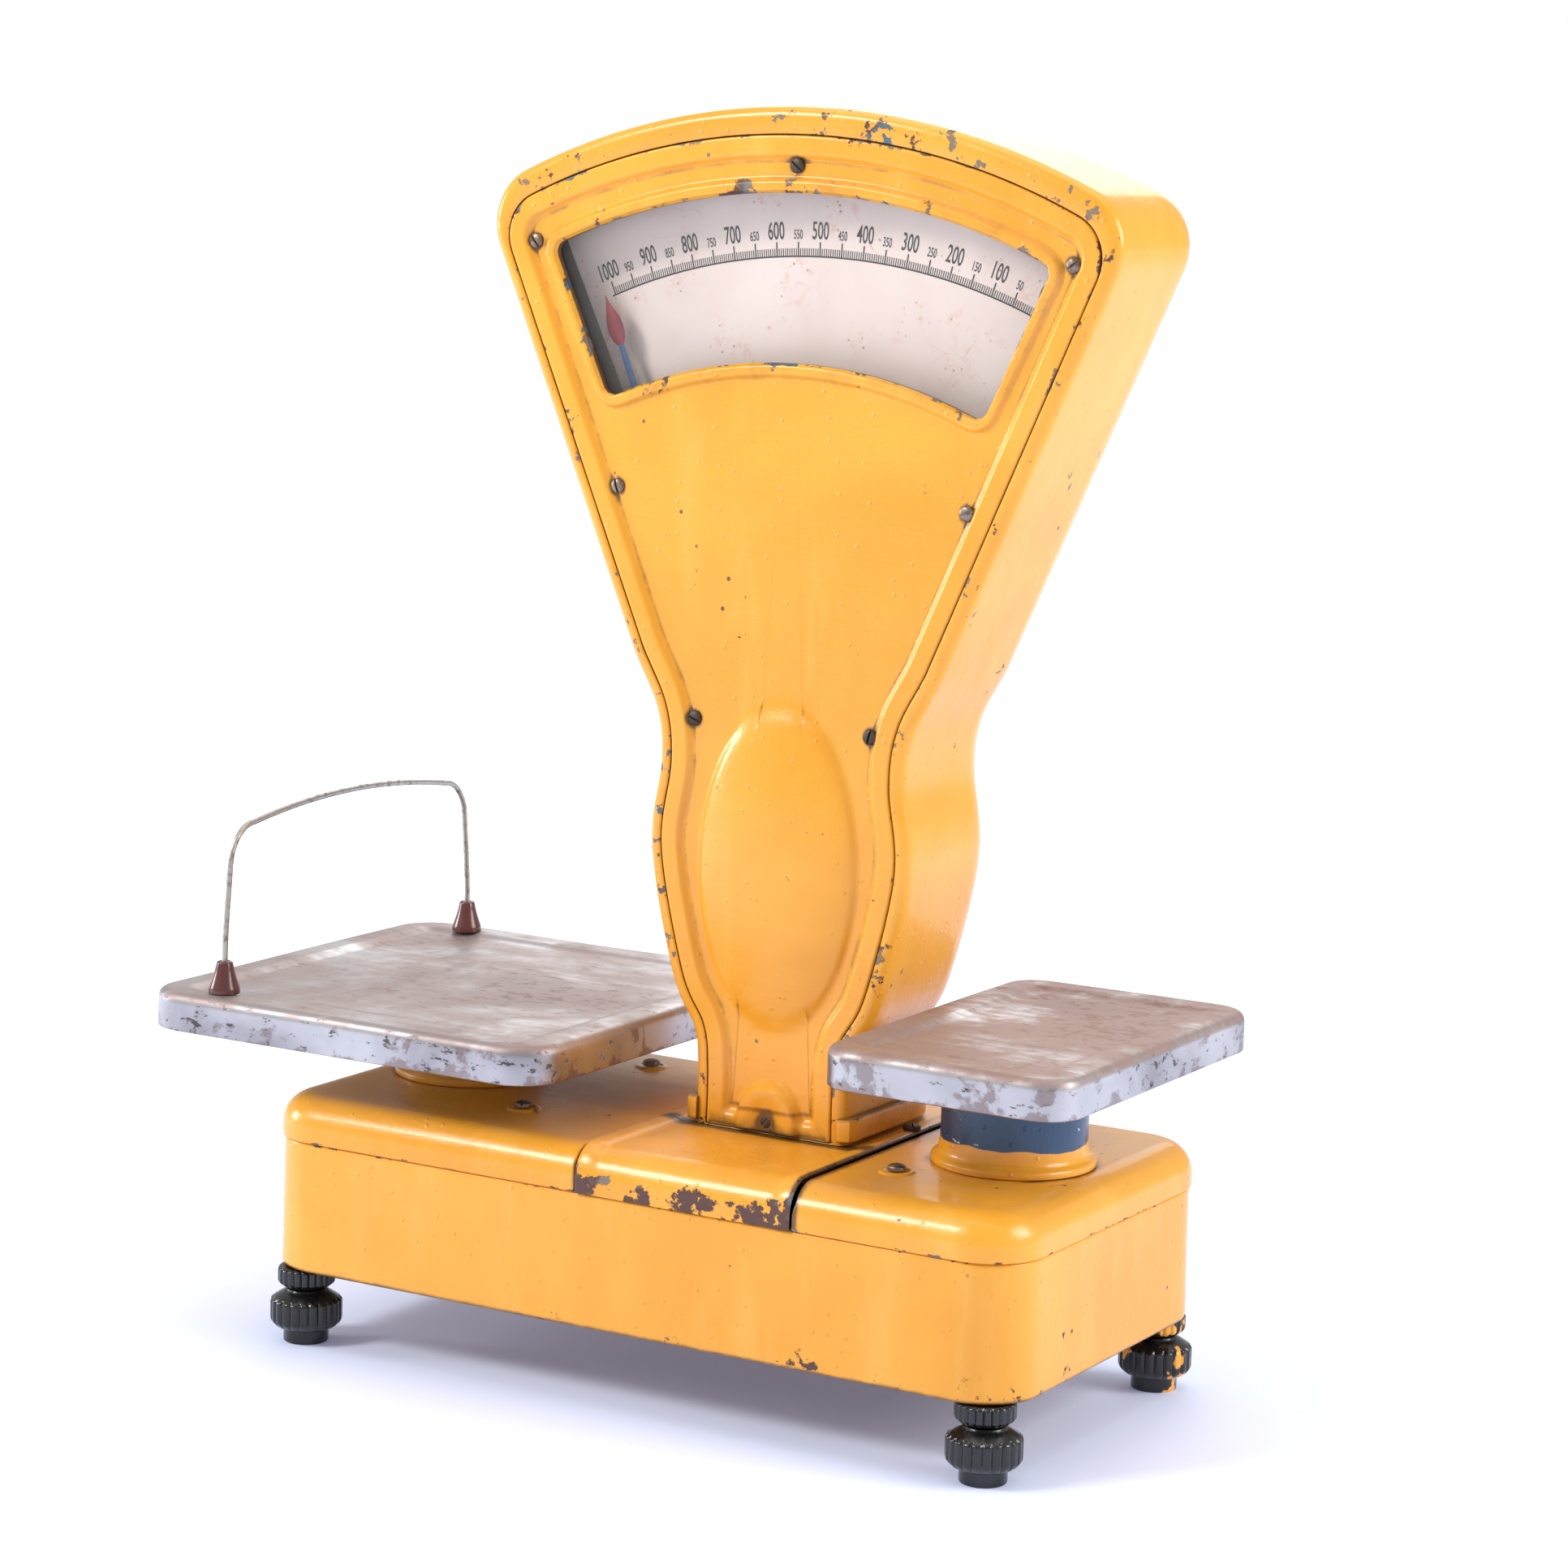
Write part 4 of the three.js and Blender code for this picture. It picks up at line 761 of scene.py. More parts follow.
def coverRelief(ring, inset):
    # how far the cover's face stands ahead of its panel: a flange near the edge, an arched boss at the
    # foot, and a long bulge, which is a parabola in the ellipse's radius with a soft edge
    s = coverShape
    x, z = ring[:, 0], ring[:, 1]
    foot = headShape["foot"]
    inset = np.where(z < foot + 26, np.minimum(headShape["ankle"] - np.abs(x), 40), inset)
    flange = 1 - smooth(inset, s["stepStart"], s["stepEnd"])
    band = 1 - smooth(z - foot, s["footBand"] - 1.8, s["footBand"] + 2.2)
    bossFar = np.hypot(x, np.maximum(z - s["bossHeight"], 0))
    boss = 1 - smooth(bossFar, s["bossRadius"] - 2, s["bossRadius"] + 2.4)
    radius = np.hypot(x / s["bulgeHalf"][0], (z - s["bulgeRise"]) / s["bulgeHalf"][1])
    dome = np.maximum(1 - radius**2, 0) ** 0.72 * smooth(1.02 - radius, 0, 0.10)
    raised = 1 - (1 - flange) * (1 - band) * (1 - boss)
    arch = boss * s["bossExtra"] * (1 - 0.5 * (1 - smooth(bossFar, 3, s["bossRadius"] - 5)))
    return s["step"] * raised + arch + s["bulgeHeight"] * dome


def nearScrews(ring, reach):
    # dirt round the screws of the cover: it fades with the distance from the nearest of them
    apart = ring[:, None] - screwSpots
    return np.exp(-np.maximum(np.hypot(apart[..., 0], apart[..., 1]).min(axis=1) - 3.6, 0) / reach)


def makeFrontCover():
    s = coverShape
    face = coverFront
    panel = face + s["step"]
    back = panel + s["sheet"]
    rings, heights, wear, grimeAndShade = [], [], [], []

    def row(ring, height, chips, dirtAndShade):
        rings.append(ring)
        heights.append(height)
        wear.append(chips + 0.5 * nearScrews(ring, 2.5))
        footDirt = 1.2 * np.exp(-(ring[:, 1] - headShape["foot"]) / 1.5)
        grimeAndShade.append(dirtAndShade + nearScrews(ring, 1.6) + footDirt)

    atTop = lambda ring: 0.5 + 0.7 * smooth(ring[:, 1], 120, 330)
    edge = headRing(0)
    row(edge, face + s["sheet"], 0.9 * atTop(edge), 0.8)
    for turn in np.linspace(0, math.pi / 2, 6):
        ring = headRing(s["edgeRound"] * (1 - math.cos(turn)) + 0.02)
        depth = face + s["edgeRound"] * (1 - math.sin(turn))
        row(ring, depth, (0.95 - 0.25 * turn) * atTop(ring), 0.15)
    insets = [2.2, 3.4, 5, 6.6, 7.8, 8.4, 9, 9.6, 10.2, 10.8, 11.4, 12, 12.7, 13.6]
    for inset in insets:
        ring = headRing(inset)
        chips = 0.5 * math.exp(-inset / 3.5) * atTop(ring) + 0.25 * math.exp(-((inset - 8.6) ** 2) / 1.2)
        dirtAndShade = 0.5 * math.exp(-((inset - 12.6) ** 2) / 3) + 0.5 * smooth(-ring[:, 1], 112, 131)
        row(ring, panel - coverRelief(ring, inset), chips, dirtAndShade)
    outer = headRing(insets[-1])
    angles = rayAngles(outer)
    inner = windowRing(angles, s["rimWidth"] + 1.6)
    for part in np.concatenate([np.linspace(0, 0.05, 16)[1:], np.linspace(0.05, 1, 78)[1:]]):
        ring = outer + (inner - outer) * part
        relief = coverRelief(ring, 99)
        row(ring, panel - relief, 0.1 * smooth(part, 0.9, 1), 0.4 * smooth(-ring[:, 1], 108, 131))
    for grow in (8.5, 7.9, 7.3, 6.7, 6.1, 5.5, 4.9, 4.2, 3.2, 2.4, 1.8, 1.3, 0.9, 0.5, 0.2, 0):
        height = s["rimHeight"] * smooth(8.4 - grow, 0, 3.6) * (1 - smooth(1.9 - grow, 0, 2.3) * 0.8)
        chips = 0.55 if grow < 7 else 0.2
        row(windowRing(angles, grow), panel - height, chips + 0.5 * smooth(2 - grow, 0, 2), 0.35)
    # painted shade: the window's edge and the back of the cover are painted dark brown, as the shade inside
    # the head
    row(windowRing(angles, 0), back, 0.6, 2.5)
    row(windowRing(angles, s["rimWidth"]), back, 0, 2.5)
    row(headRing(s["stepEnd"]), back, 0, 0.5)
    row(headRing(s["stepStart"] - 0.4), face + s["sheet"], 0, 0.5)
    settle(headPiece("cover_plate", rings, heights, wear, grimeAndShade), "cover", "housing", "enamel", "front_cover")


casingShape = {
    "lip": 5.0,
    "side": 8.0,
    "top": 14.0,
    "proud": 2.6,
    "edgeRound": 5.4,
    "backRound": 30.0,
    "wall": 3.5,
    "rearInset": 9.0,
}


def makeCasing():
    # rows round the head: in from the lip's mouth, over its front edge, back along the sides, round the
    # back edge, in to the rear window, and home along the inner wall
    s = casingShape
    front = coverFront + coverSeat
    rings, heights, wear, grimeAndShade = [], [], [], []

    def placeRing(ring, height, chips=0.0, dirtAndShade=0.0):
        rings.append(ring)
        heights.append(height)
        wear.append(np.full(len(ring), chips))
        grimeAndShade.append(np.full(len(ring), dirtAndShade))

    def row(inset, height, chips=0.0, dirtAndShade=0.0, foot=0.0):
        placeRing(headRing(inset - s["side"], inset - s["top"], foot), height, chips, dirtAndShade)

    for depth in (front + s["wall"], front):
        placeRing(headRing(s["lip"], s["lip"], s["lip"]), depth, 0, 1)
    seam = ((-0.3, 0.9, 0), (-0.45, 0.8, 0.3), (-0.5, 0.7, 1.6), (-0.8, 0.5, 2.2), (-1.5, 0.3, 2.5))
    for inset, gap, rise in seam:
        placeRing(headRing(inset, inset, gap), front - rise, 0.75, 1.0 if rise < 2 else 0.3)
    face = front - s["proud"]
    row(s["edgeRound"] + 1, face, 0.7, 0.1, 0.15)
    row(s["edgeRound"], face, 0.7, 0.1, 0.1)
    for turn in np.linspace(0, math.pi / 2, 9)[1:]:
        inset = s["edgeRound"] * (1 - math.sin(turn))
        row(inset, face + s["edgeRound"] * (1 - math.cos(turn)), 0.7 - 0.35 * turn, 0)
    straight = headBack - s["backRound"]
    for depth in np.linspace(face + s["edgeRound"], straight, 13)[1:]:
        row(0, depth, 0.1, 0)
    for turn in np.linspace(0, math.pi / 2, 15)[1:]:
        inset = s["backRound"] * (1 - math.cos(turn))
        row(inset, straight + s["backRound"] * math.sin(turn), 0.12, 0)
    outer = rings[-1]
    angles = rayAngles(outer)

    def window(grow):
        return windowRing(angles, grow - s["rearInset"])

    inner = window(8)
    for part in np.linspace(0, 1, 22)[1:]:
        placeRing(outer + (inner - outer) * part, headBack)
    for grow in (7.2, 6.2, 5, 3.8, 2.6, 1.6, 0.8, 0.2):
        across = min(abs(grow - 3.8) / 3.8, 1)
        placeRing(window(grow), headBack - 1.6 + 1.6 * (1 - across**2) ** 0.5, 0.5, 0.2)
    # painted shade: the rear window's edge and the inner wall of the casing are painted dark brown, as the
    # shade inside the head
    placeRing(window(0), headBack - s["wall"], 0.5, 0.5)
    placeRing(window(8), headBack - s["wall"], 0, 2.5)
    for turn in np.linspace(math.pi / 2, 0, 5):
        radius = s["backRound"] - s["wall"]
        inset = s["backRound"] - radius * math.cos(turn)
        row(inset, straight + radius * math.sin(turn), 0, 2.5, s["wall"])
    row(s["wall"], front + s["wall"] + 1, 0, 2.5, s["wall"])
    settle(headPiece("casing_shell", rings, heights, wear, grimeAndShade), "head", "housing", "enamel", "head_casing")


makeFrontCover()
makeCasing()
print("head made")


baseShape = {"corner": 29.0, "draft": 0.8, "wall": 4.0, "footRound": 2.5}
low, high = cornersOf("base_housing")
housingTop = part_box("left_lid")[0].z / mm
lidTop = housingTop + 22.7
seamRadius = 1.1


def makeBase():
    s = baseShape
    centre = (low + high)[:2] / 2
    half = (high - low)[:2] / 2 - s["draft"]
    bottom, top = low[2], housingTop - 0.3
    loops, wear = [], []

    def layer(grow, height, chips):
        corner = s["corner"] + grow
        loops.append(denserLoop(centre - half - grow, centre + half + grow, [corner] * 4, height))
        wear.append(chips)

    layer(s["draft"] - s["footRound"], bottom, 0.2)
    for turn in np.linspace(0, math.pi / 2, 6)[1:]:
        grow = s["draft"] - s["footRound"] * (1 - math.sin(turn))
        layer(grow, bottom + s["footRound"] * (1 - math.cos(turn)), 0.5)
    tall = top - 1.4 - bottom - s["footRound"]
    for part in np.linspace(0, 1, 20)[1:] ** 1.5:
        chips = 0.1 + 0.75 * math.exp(-part * tall / 4)
        layer(s["draft"] * (1 - part), bottom + s["footRound"] + tall * part, chips)
    for turn in np.linspace(0, math.pi / 2, 4)[1:]:
        layer(-1.4 * (1 - math.cos(turn)), top - 1.4 * (1 - math.sin(turn)), 0.8)
    layer(-s["wall"], top, 0)
    layer(-s["wall"], bottom + s["wall"], 0)
    count = len(loops[0])
    dirtAndShade = 0.75 * np.exp(-np.maximum(np.array(loops)[..., 2] - bottom - 1, 0) / 2.2)
    values = {"wear": np.repeat(wear, count), "grimeAndShade": dirtAndShade}
    piece = loopsPiece("base_casting", loops, values)
    settle(piece, "housing", "housing", "enamel", "base_housing")


def denserLoop(lowCorner, highCorner, radii, height):
    # a rounded rectangle at a height, whose straight sides always get the same number of points
    steps, count = 12, 40
    corners = roundedLoop(lowCorner, highCorner, radii, steps).reshape(4, steps + 1, 2)
    made = []
    for quarter in range(4):
        made.append(corners[quarter])
        start, end = corners[quarter][-1], corners[(quarter + 1) % 4][0]
        made.append(start + (end - start) * (np.arange(1, count) / count)[:, None])
    flat = np.vstack(made)
    return np.hstack([flat, np.full((len(flat), 1), height)])


lidShape = {"corner": 30.3, "round": 16.0, "wall": 4.0, "edgeRound": 1.0}


def makeLid(name, node, neckX, side):
    # side is -1 where the lid's free end is at low X: its free edges are quarter round and its seam is
    # nearly square; the top runs in from the rectangle to the circle under the neck
    s = lidShape
    lowest, highest = cornersOf(node)
    loops, wear = [], []

    def layer(inset, height, chips=0.1, seam=None):
        seam = min(inset, s["edgeRound"]) if seam is None else seam
        lowCorner = lowest[:2] + inset
        highCorner = highest[:2] - inset
        if side < 0:
            highCorner[0] = highest[0] - seam
        else:
            lowCorner[0] = lowest[0] + seam
        free = max(s["corner"] - inset, 6)
        radii = [seamRadius, free, free, seamRadius] if side < 0 else [free, seamRadius, seamRadius, free]
        loops.append(denserLoop(lowCorner, highCorner, radii, height))
        wear.append(chips)

    layer(0.9, housingTop, 0.9)
    layer(0.25, housingTop + 0.25, 0.95)
    layer(0, housingTop + 0.9, 0.9)
    for height in np.linspace(housingTop + 2, lidTop - s["round"], 4):
        layer(0, height, 0.15)
    for turn in np.linspace(0, math.pi / 2, 13)[1:]:
        layer(s["round"] * (1 - math.cos(turn)), lidTop - s["round"] * (1 - math.sin(turn)), 0.12)
    top = loops[-1]
    centre = np.array([neckX, 0.0])
    angle = np.arctan2(top[:, 1] - centre[1], top[:, 0] - centre[0])

    def circle(radius, height):
        flat = centre + radius * np.stack([np.cos(angle), np.sin(angle)], -1)
        return np.hstack([flat, np.full((len(flat), 1), height)])

    rim = circle(38.0, lidTop)
    for part in np.linspace(0, 1, 9)[1:]:
        loops.append(top + (rim - top) * part)
        wear.append(0.05)
    for radius, height in ((31.5, lidTop), (31.5, lidTop - s["wall"]), (40, lidTop - s["wall"])):
        loops.append(circle(radius, height))
        wear.append(0)
    layer(s["round"] + 1, lidTop - s["wall"], 0, 4)
    layer(s["wall"] + 1, lidTop - s["round"], 0, 4)
    layer(s["wall"], housingTop, 0, 4)
    points = np.array(loops)
    seamX = highest[0] if side < 0 else lowest[0]
    nearSeam = np.exp(-np.abs(points[..., 0] - seamX) / 3.0)
    onTop = smooth(points[..., 2], lidTop - 3, lidTop - 0.5)
    fromNeck = np.hypot(points[..., 0] - neckX, points[..., 1]) - 41
    seamDirt = (0.5 if side < 0 else 1.2) * nearSeam
    values = {
        "wear": np.array(wear)[:, None] + 0.5 * nearSeam,
        "grimeAndShade": np.maximum(seamDirt, 0.7 * np.exp(-np.abs(fromNeck) / 4) * onTop),
        "top": onTop * 0.9,
    }
    piece = loopsPiece(name, points, values, closed=True)
    settle(piece, "lids", "housing", "enamel", node)


plateShape = {"lipWidth": 10.0, "lipHeight": 2.0, "round": 16.0, "wall": 4.0}


def makeCentreCover(name, node, outerY, seamY):
    # a path from the seam to the outer edge, round it and down, carries a cross-section whose two ends
    # rise to a lip; the lip fades down the outer face
    s = plateShape
    lowest, highest = cornersOf(node)
    way = math.copysign(1, outerY)
    reach = abs(outerY) - s["round"]
    inward = abs(seamY) * math.copysign(1, seamY) * way
    flat = [(y, lidTop, 0.0) for y in np.linspace(inward, reach, 26)]
    turned = [
        (reach + s["round"] * math.sin(turn), lidTop - s["round"] * (1 - math.cos(turn)), turn)
        for turn in np.linspace(0, math.pi / 2, 16)[1:]
    ]
    drops = np.linspace(lidTop - s["round"], housingTop, 5)[1:]
    down = [(reach + s["round"], z, math.pi / 2) for z in drops]
    path = np.array(flat + turned + down)
    x0, x1 = lowest[0], highest[0]
    lip = s["lipWidth"]
    steps = np.array([0, 0.15, 0.5, 1.2, 2.4, 5, 7.4, 8.6, 9.3, 9.8, 10.3, 11.2, 12.4])
    across = np.concatenate([x0 + steps, np.linspace(x0 + 15, x1 - 15, 22), x1 - steps[::-1]])
    fromEdge = np.minimum(across - x0, x1 - across)
    ridge = s["lipHeight"] * (1 - smooth(fromEdge, lip - 5, lip + 3))
    ridge = ridge * np.clip(fromEdge / 1.2 + 0.15, 0, 1) ** 0.4
    fade = 1 - 0.75 * smooth(path[:, 2], 0.2, 1.4)
    lift = ridge[None, :] * fade[:, None]
    normalY, normalZ = np.sin(path[:, 2])[:, None], np.cos(path[:, 2])[:, None]
    outY = path[:, 0:1] + normalY * lift
    outZ = path[:, 1:2] + normalZ * lift
    inY = path[:, 0:1] - normalY * s["wall"] + 0 * lift
    inZ = path[:, 1:2] - normalZ * s["wall"] + 0 * lift
    outer = np.stack([np.broadcast_to(across, outY.shape), outY * way, outZ], -1)
    inner = np.stack([np.broadcast_to(across, outY.shape), inY * way, inZ], -1)[:, ::6]
    points = np.concatenate([outer, inner[:, ::-1]], 1)
    fromSide = np.minimum(points[..., 0] - x0, x1 - points[..., 0])
    fromSeam = np.abs(points[..., 1] - seamY)
    low = smooth(lidTop - points[..., 2], 2, 15)
    lipWear = 0.3 * np.exp(-np.abs(fromSide - lip) / 1.5)
    rightDirt = 1.1 * np.exp(-np.maximum(x1 - points[..., 0], 0) / 2.2)
    values = {
        "wear": np.maximum(0.8 * np.exp(-fromSide / 2.5), lipWear) + 0.95 * low,
        "grimeAndShade": np.maximum(1.2 * np.exp(-fromSeam / 5), rightDirt),
        "top": 1 - smooth(lidTop - points[..., 2], 1, 4),
    }
    piece = loopsPiece(name, points, values)
    settle(piece, "centre", "housing", "enamel", node)


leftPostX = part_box("left_neck")[0].x / mm / 2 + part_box("left_neck")[1].x / mm / 2
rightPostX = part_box("right_neck")[0].x / mm / 2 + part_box("right_neck")[1].x / mm / 2
makeBase()
makeLid("left_lid_casting", "left_lid", leftPostX, -1)
makeLid("right_lid_casting", "right_lid", rightPostX, 1)
makeCentreCover("front_centre_casting", "front_centre_cover", -109.3, coverFront - 0.35)
makeCentreCover("rear_centre_casting", "rear_centre_cover", 109.3, coverFront + 0.35)
print("base and lids made")


neckShape = {"radius": 36.7, "flare": 4.6, "wall": 4.0}


def makeNeck(name, node, centreX):
    s = neckShape
    foot, top = (corner.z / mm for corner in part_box(node))
    radius, inner = s["radius"], s["radius"] - s["wall"]
    path = [
        (inner, foot), (radius + s["flare"], foot), (radius + s["flare"], foot + 3.2),
        (radius + 1.1, foot + 5.6), (radius, foot + 12), (radius, top - 8), (radius, top),
        (inner, top), (inner, foot + 8), (inner, foot),
    ]
    profile = fillet(path, [0, 0.6, 1.4, 3, 3, 1, 1.8, 1.2, 0, 0], 6)
    dirtAndShade = lambda points: 0.3 * smooth(foot + 5 - points[:, 2], 0, 5)

    def chips(points):
        atFoot = smooth(foot + 5 - points[:, 2], 0, 3)
        return 0.75 * smooth(points[:, 2], top - 3, top - 0.5) + 0.25 * atFoot

    piece = turnedPiece(name, profile, (centreX * mm, 0, 0), 96, {"wear": chips, "grimeAndShade": dirtAndShade})
    settle(piece, "necks", "housing", "enamel", node)


makeNeck("left_neck_tube", "left_neck", leftPostX)
makeNeck("right_neck_tube", "right_neck", rightPostX)

collarShape = {"thickness": 4.6, "tab": 7.0}


def makeCollar():
    # a band along the sides and the round back corners of the column, hooked round its front edges
    lowest, highest = cornersOf("column_foot_collar")
    t = collarShape["thickness"]
    half = (highest[0] - lowest[0]) / 2 - t
    back, front, radius = highest[1] - t, lowest[1], 30.0
    turn = np.linspace(0, math.pi / 2, 12)[:, None]
    corner = np.hstack([half - radius + radius * np.cos(turn), back - radius + radius * np.sin(turn)])
    side = np.stack([np.full(10, half), np.linspace(front + 1.5, back - radius, 11)[:-1]], -1)
    tab = half - collarShape["tab"] + 4
    hook = np.array([(tab, front - 0.2), (half - 1.4, front - 0.2), (half - 0.3, front + 0.4)])
    right = np.vstack([hook, side, corner])
    path = np.vstack([right, (right * (-1, 1))[::-1]])
    ahead = np.gradient(path, axis=0)
    ahead /= np.linalg.norm(ahead, axis=1)[:, None]
    outward = np.stack([ahead[:, 1], -ahead[:, 0]], -1)
    section = fillet([(0.4, 0), (t, 0), (t, 12), (0.4, 12)], [0, 1.6, 1.6, 0], 5)
    reach = path[:, None] + outward[:, None] * section[None, :, :1]
    height = np.broadcast_to(section[:, 1] + lowest[2], reach.shape[:2])
    points = np.concatenate([reach + np.array([(lowest[0] + highest[0]) / 2, 0]), height[..., None]], -1)
    edge = np.broadcast_to(np.abs(section[:, 1] - 6) / 6, reach.shape[:2])
    values = {"wear": 0.8 * edge**3, "grimeAndShade": 0.12 + 0.5 * edge**4}
    piece = loopsPiece("foot_collar_band", points, values)
    settle(piece, "collar", "housing", "enamel", "column_foot_collar")


makeCollar()

panShape = {"wall": 2.2, "round": 5.0, "border": 17.0, "slope": 5.0, "recess": 2.0}


def makePan(name, node, corner, paint, body):
    # a skirt, a round edge, a flat border and a slope down to the plate, and the same again inside
    s = panShape
    lowest, highest = cornersOf(node)
    bottom, top = lowest[2], highest[2]
    inner = [
        (s["border"] + s["slope"], top - s["recess"] - s["wall"]),
        (s["border"], top - s["wall"]),
        (s["round"], top - s["wall"]),
        (s["wall"], top - s["round"]),
        (s["wall"], bottom),
    ]
    plate = top - s["recess"]
    outer = [
        (0, bottom), (0, top), (s["border"], top),
        (s["border"] + s["slope"], plate), (s["border"] + 14, plate),
    ]
    skirt = fillet(outer, [0, s["round"] * 1.2, 2.5, 2.5, 0], 9)
    wall = np.stack([np.zeros(8), np.linspace(bottom + 1, top - 7, 8)], -1)
    skirt = np.vstack([[0.5, bottom], [0, bottom + 0.5], wall, skirt[1:]])
    profile = np.vstack([inner, skirt])
    loops = [
        denserLoop(lowest[:2] + inset, highest[:2] - inset, [max(corner - inset, 3)] * 4, height)
        for inset, height in profile
    ]
    points = np.array(loops)
    sway = 0.22 * np.sin(points[..., 0] / 23 + 1.3) * np.sin(points[..., 1] / 31 + 0.4)
    flatTop = smooth(points[..., 2], top - 4.6, top - 3.2)
    points[..., 2] += sway * flatTop * (points[..., 2] < top + 1)
    points[..., 2] = np.minimum(points[..., 2], top)
    rust = np.exp(-(points[..., 2] - bottom) / 2.5)
    piece = loopsPiece(name, points, {"top": flatTop, "skirt": 1 - flatTop, "edge": rust})
    settle(piece, paint, body, "pan_aluminium", node)


makePan("goods_plate", "goods_pan", 24.0, "goodsPan", "goods_carriage")
makePan("weights_plate", "weights_pan", 20.0, "weightsPan", "weights_carriage")
print("necks, collar and pans made")


def sweptWire(name, path, radius, sides=14):
    # circles carried along a path, each set across the path's direction
    path = np.asarray(path, float)
    ahead = np.gradient(path, axis=0)
    ahead /= np.linalg.norm(ahead, axis=1)[:, None]
    level = np.array([1.0, 0, 0])
    over = np.cross(ahead, level)
    over /= np.linalg.norm(over, axis=1)[:, None]
    turn = np.linspace(0, 2 * np.pi, sides, endpoint=False)
    around = np.cos(turn)[None, :, None] * level + np.sin(turn)[None, :, None] * over[:, None, :]
    return loopsPiece(name, path[:, None, :] + radius * around)


def makeGuard():
    wireLow, wireHigh = cornersOf("guard_wire")
    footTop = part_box("guard_foot_front")[1].z / mm
    x = (wireLow[0] + wireHigh[0]) / 2
    radius = (wireHigh[0] - wireLow[0]) / 2 + 0.05
    y = wireHigh[1] - 1.75
    crown, rise, bend = wireHigh[2] - 1.75, 7.0, 20.0
    shoulder = crown - rise
    turn = np.linspace(math.pi / 2, 0, 14)[:, None]
    arc = np.hstack([y - bend + bend * np.cos(turn), shoulder - bend + bend * np.sin(turn)])
    run = np.linspace(0, y - bend, 26)[:-1]
    bar = np.stack([run, crown - rise * (run / (y - bend)) ** 2], -1)
    leg = np.stack([np.full(12, y), np.linspace(shoulder - bend, footTop - 2, 13)[1:]], -1)
    half = np.vstack([bar, arc, leg])
    half[:, 0] -= 5.0 * smooth(half[:, 1], footTop, shoulder) * half[:, 0] / y
    route = np.vstack([(half * (-1, 1))[:0:-1], half])
    piece = sweptWire("guard_hoop", np.hstack([np.full((len(route), 1), x), route]), radius)
    settle(piece, "wire", "goods_carriage", "plated_steel", "guard_wire")
    for node in ("guard_foot_front", "guard_foot_rear"):
        lowest, highest = cornersOf(node)
        bottom, top = lowest[2] - 0.2, highest[2]
        path = [(0, bottom), (8.2, bottom), (8.2, bottom + 2.4), (5.6, bottom + 10), (4.1, top), (0, top)]
        profile = fillet(path, [0, 0.5, 1.4, 4, 1.2, 0], 6)
        centre = (lowest + highest) / 2 * mm
        piece = turnedPiece(node + "_cone", profile, (centre[0], centre[1], 0), 40)
        settle(piece, "brown", "goods_carriage", "brown_phenolic", node)


footShape = {"pad": 11.8, "padHeight": 8.0, "knob": 18.8, "ribs": 22, "ribDepth": 0.95, "lock": 15.0}


def makeFoot(place):
    s = footShape
    knobLow, knobHigh = cornersOf(place + "_foot_knob")
    centre = ((knobLow[0] + knobHigh[0]) / 2 * mm, (knobLow[1] + knobHigh[1]) / 2 * mm, 0)
    pad, knob, start, end = s["pad"], s["knob"], s["padHeight"], knobHigh[2]
    path = [
        (0, 0), (pad, 0), (pad, start - 0.6), (knob - 3.4, start), (knob, start + 3.4), (knob, end - 6.6),
        (knob - 1.6, end - 5.2), (11.6, end - 1.6), (10.6, end), (4.4, end), (4.4, end - 3), (0, end - 3),
    ]
    profile = fillet(path, [0, 1, 0.8, 1.4, 1.6, 1, 1, 2, 0.8, 0.3, 0.3, 0], 4)

    def grip(edge, bottom, top):
        # narrow grooves round a knob, a power of a raised cosine, on its outer face only
        def grooved(radius, height, angle):
            there = smooth(radius, edge - 3.2, edge - 0.8) * smooth(height, bottom, bottom + 2)
            there = there * smooth(top - height, 0, 1.4)
            return radius - s["ribDepth"] * there * (0.5 + 0.5 * np.cos(s["ribs"] * angle)) ** 4

        return grooved

    piece = turnedPiece(place + "_knob_grip", profile, centre, 220, ribs=grip(knob, start, end - 4.6))
    paint = "splashedPhenolic" if place == "back_right" else "phenolic"
    settle(piece, paint, place + "_foot", "black_phenolic", place + "_foot_knob")
    lockLow, lockHigh = (corner.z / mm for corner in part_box(place + "_lock_nut"))
    lock = s["lock"]
    path = [
        (4.4, lockLow), (lock - 3, lockLow), (lock, lockLow + 2.2), (lock, lockHigh - 1.2),
        (lock - 1.2, lockHigh), (4.4, lockHigh), (4.4, lockLow),
    ]
    profile = fillet(path, [0, 1.2, 1.2, 0.6, 0.6, 0, 0], 4)
    lobes = grip(lock, lockLow - 1, lockHigh + 1)
    ring = turnedPiece(place + "_lock_ring", profile, centre, 220, ribs=lobes)
    settle(ring, paint, "housing", "black_phenolic", place + "_lock_nut")


makeGuard()
for place in ("front_left", "front_right", "back_left", "back_right"):
    makeFoot(place)
print("guard and feet made")


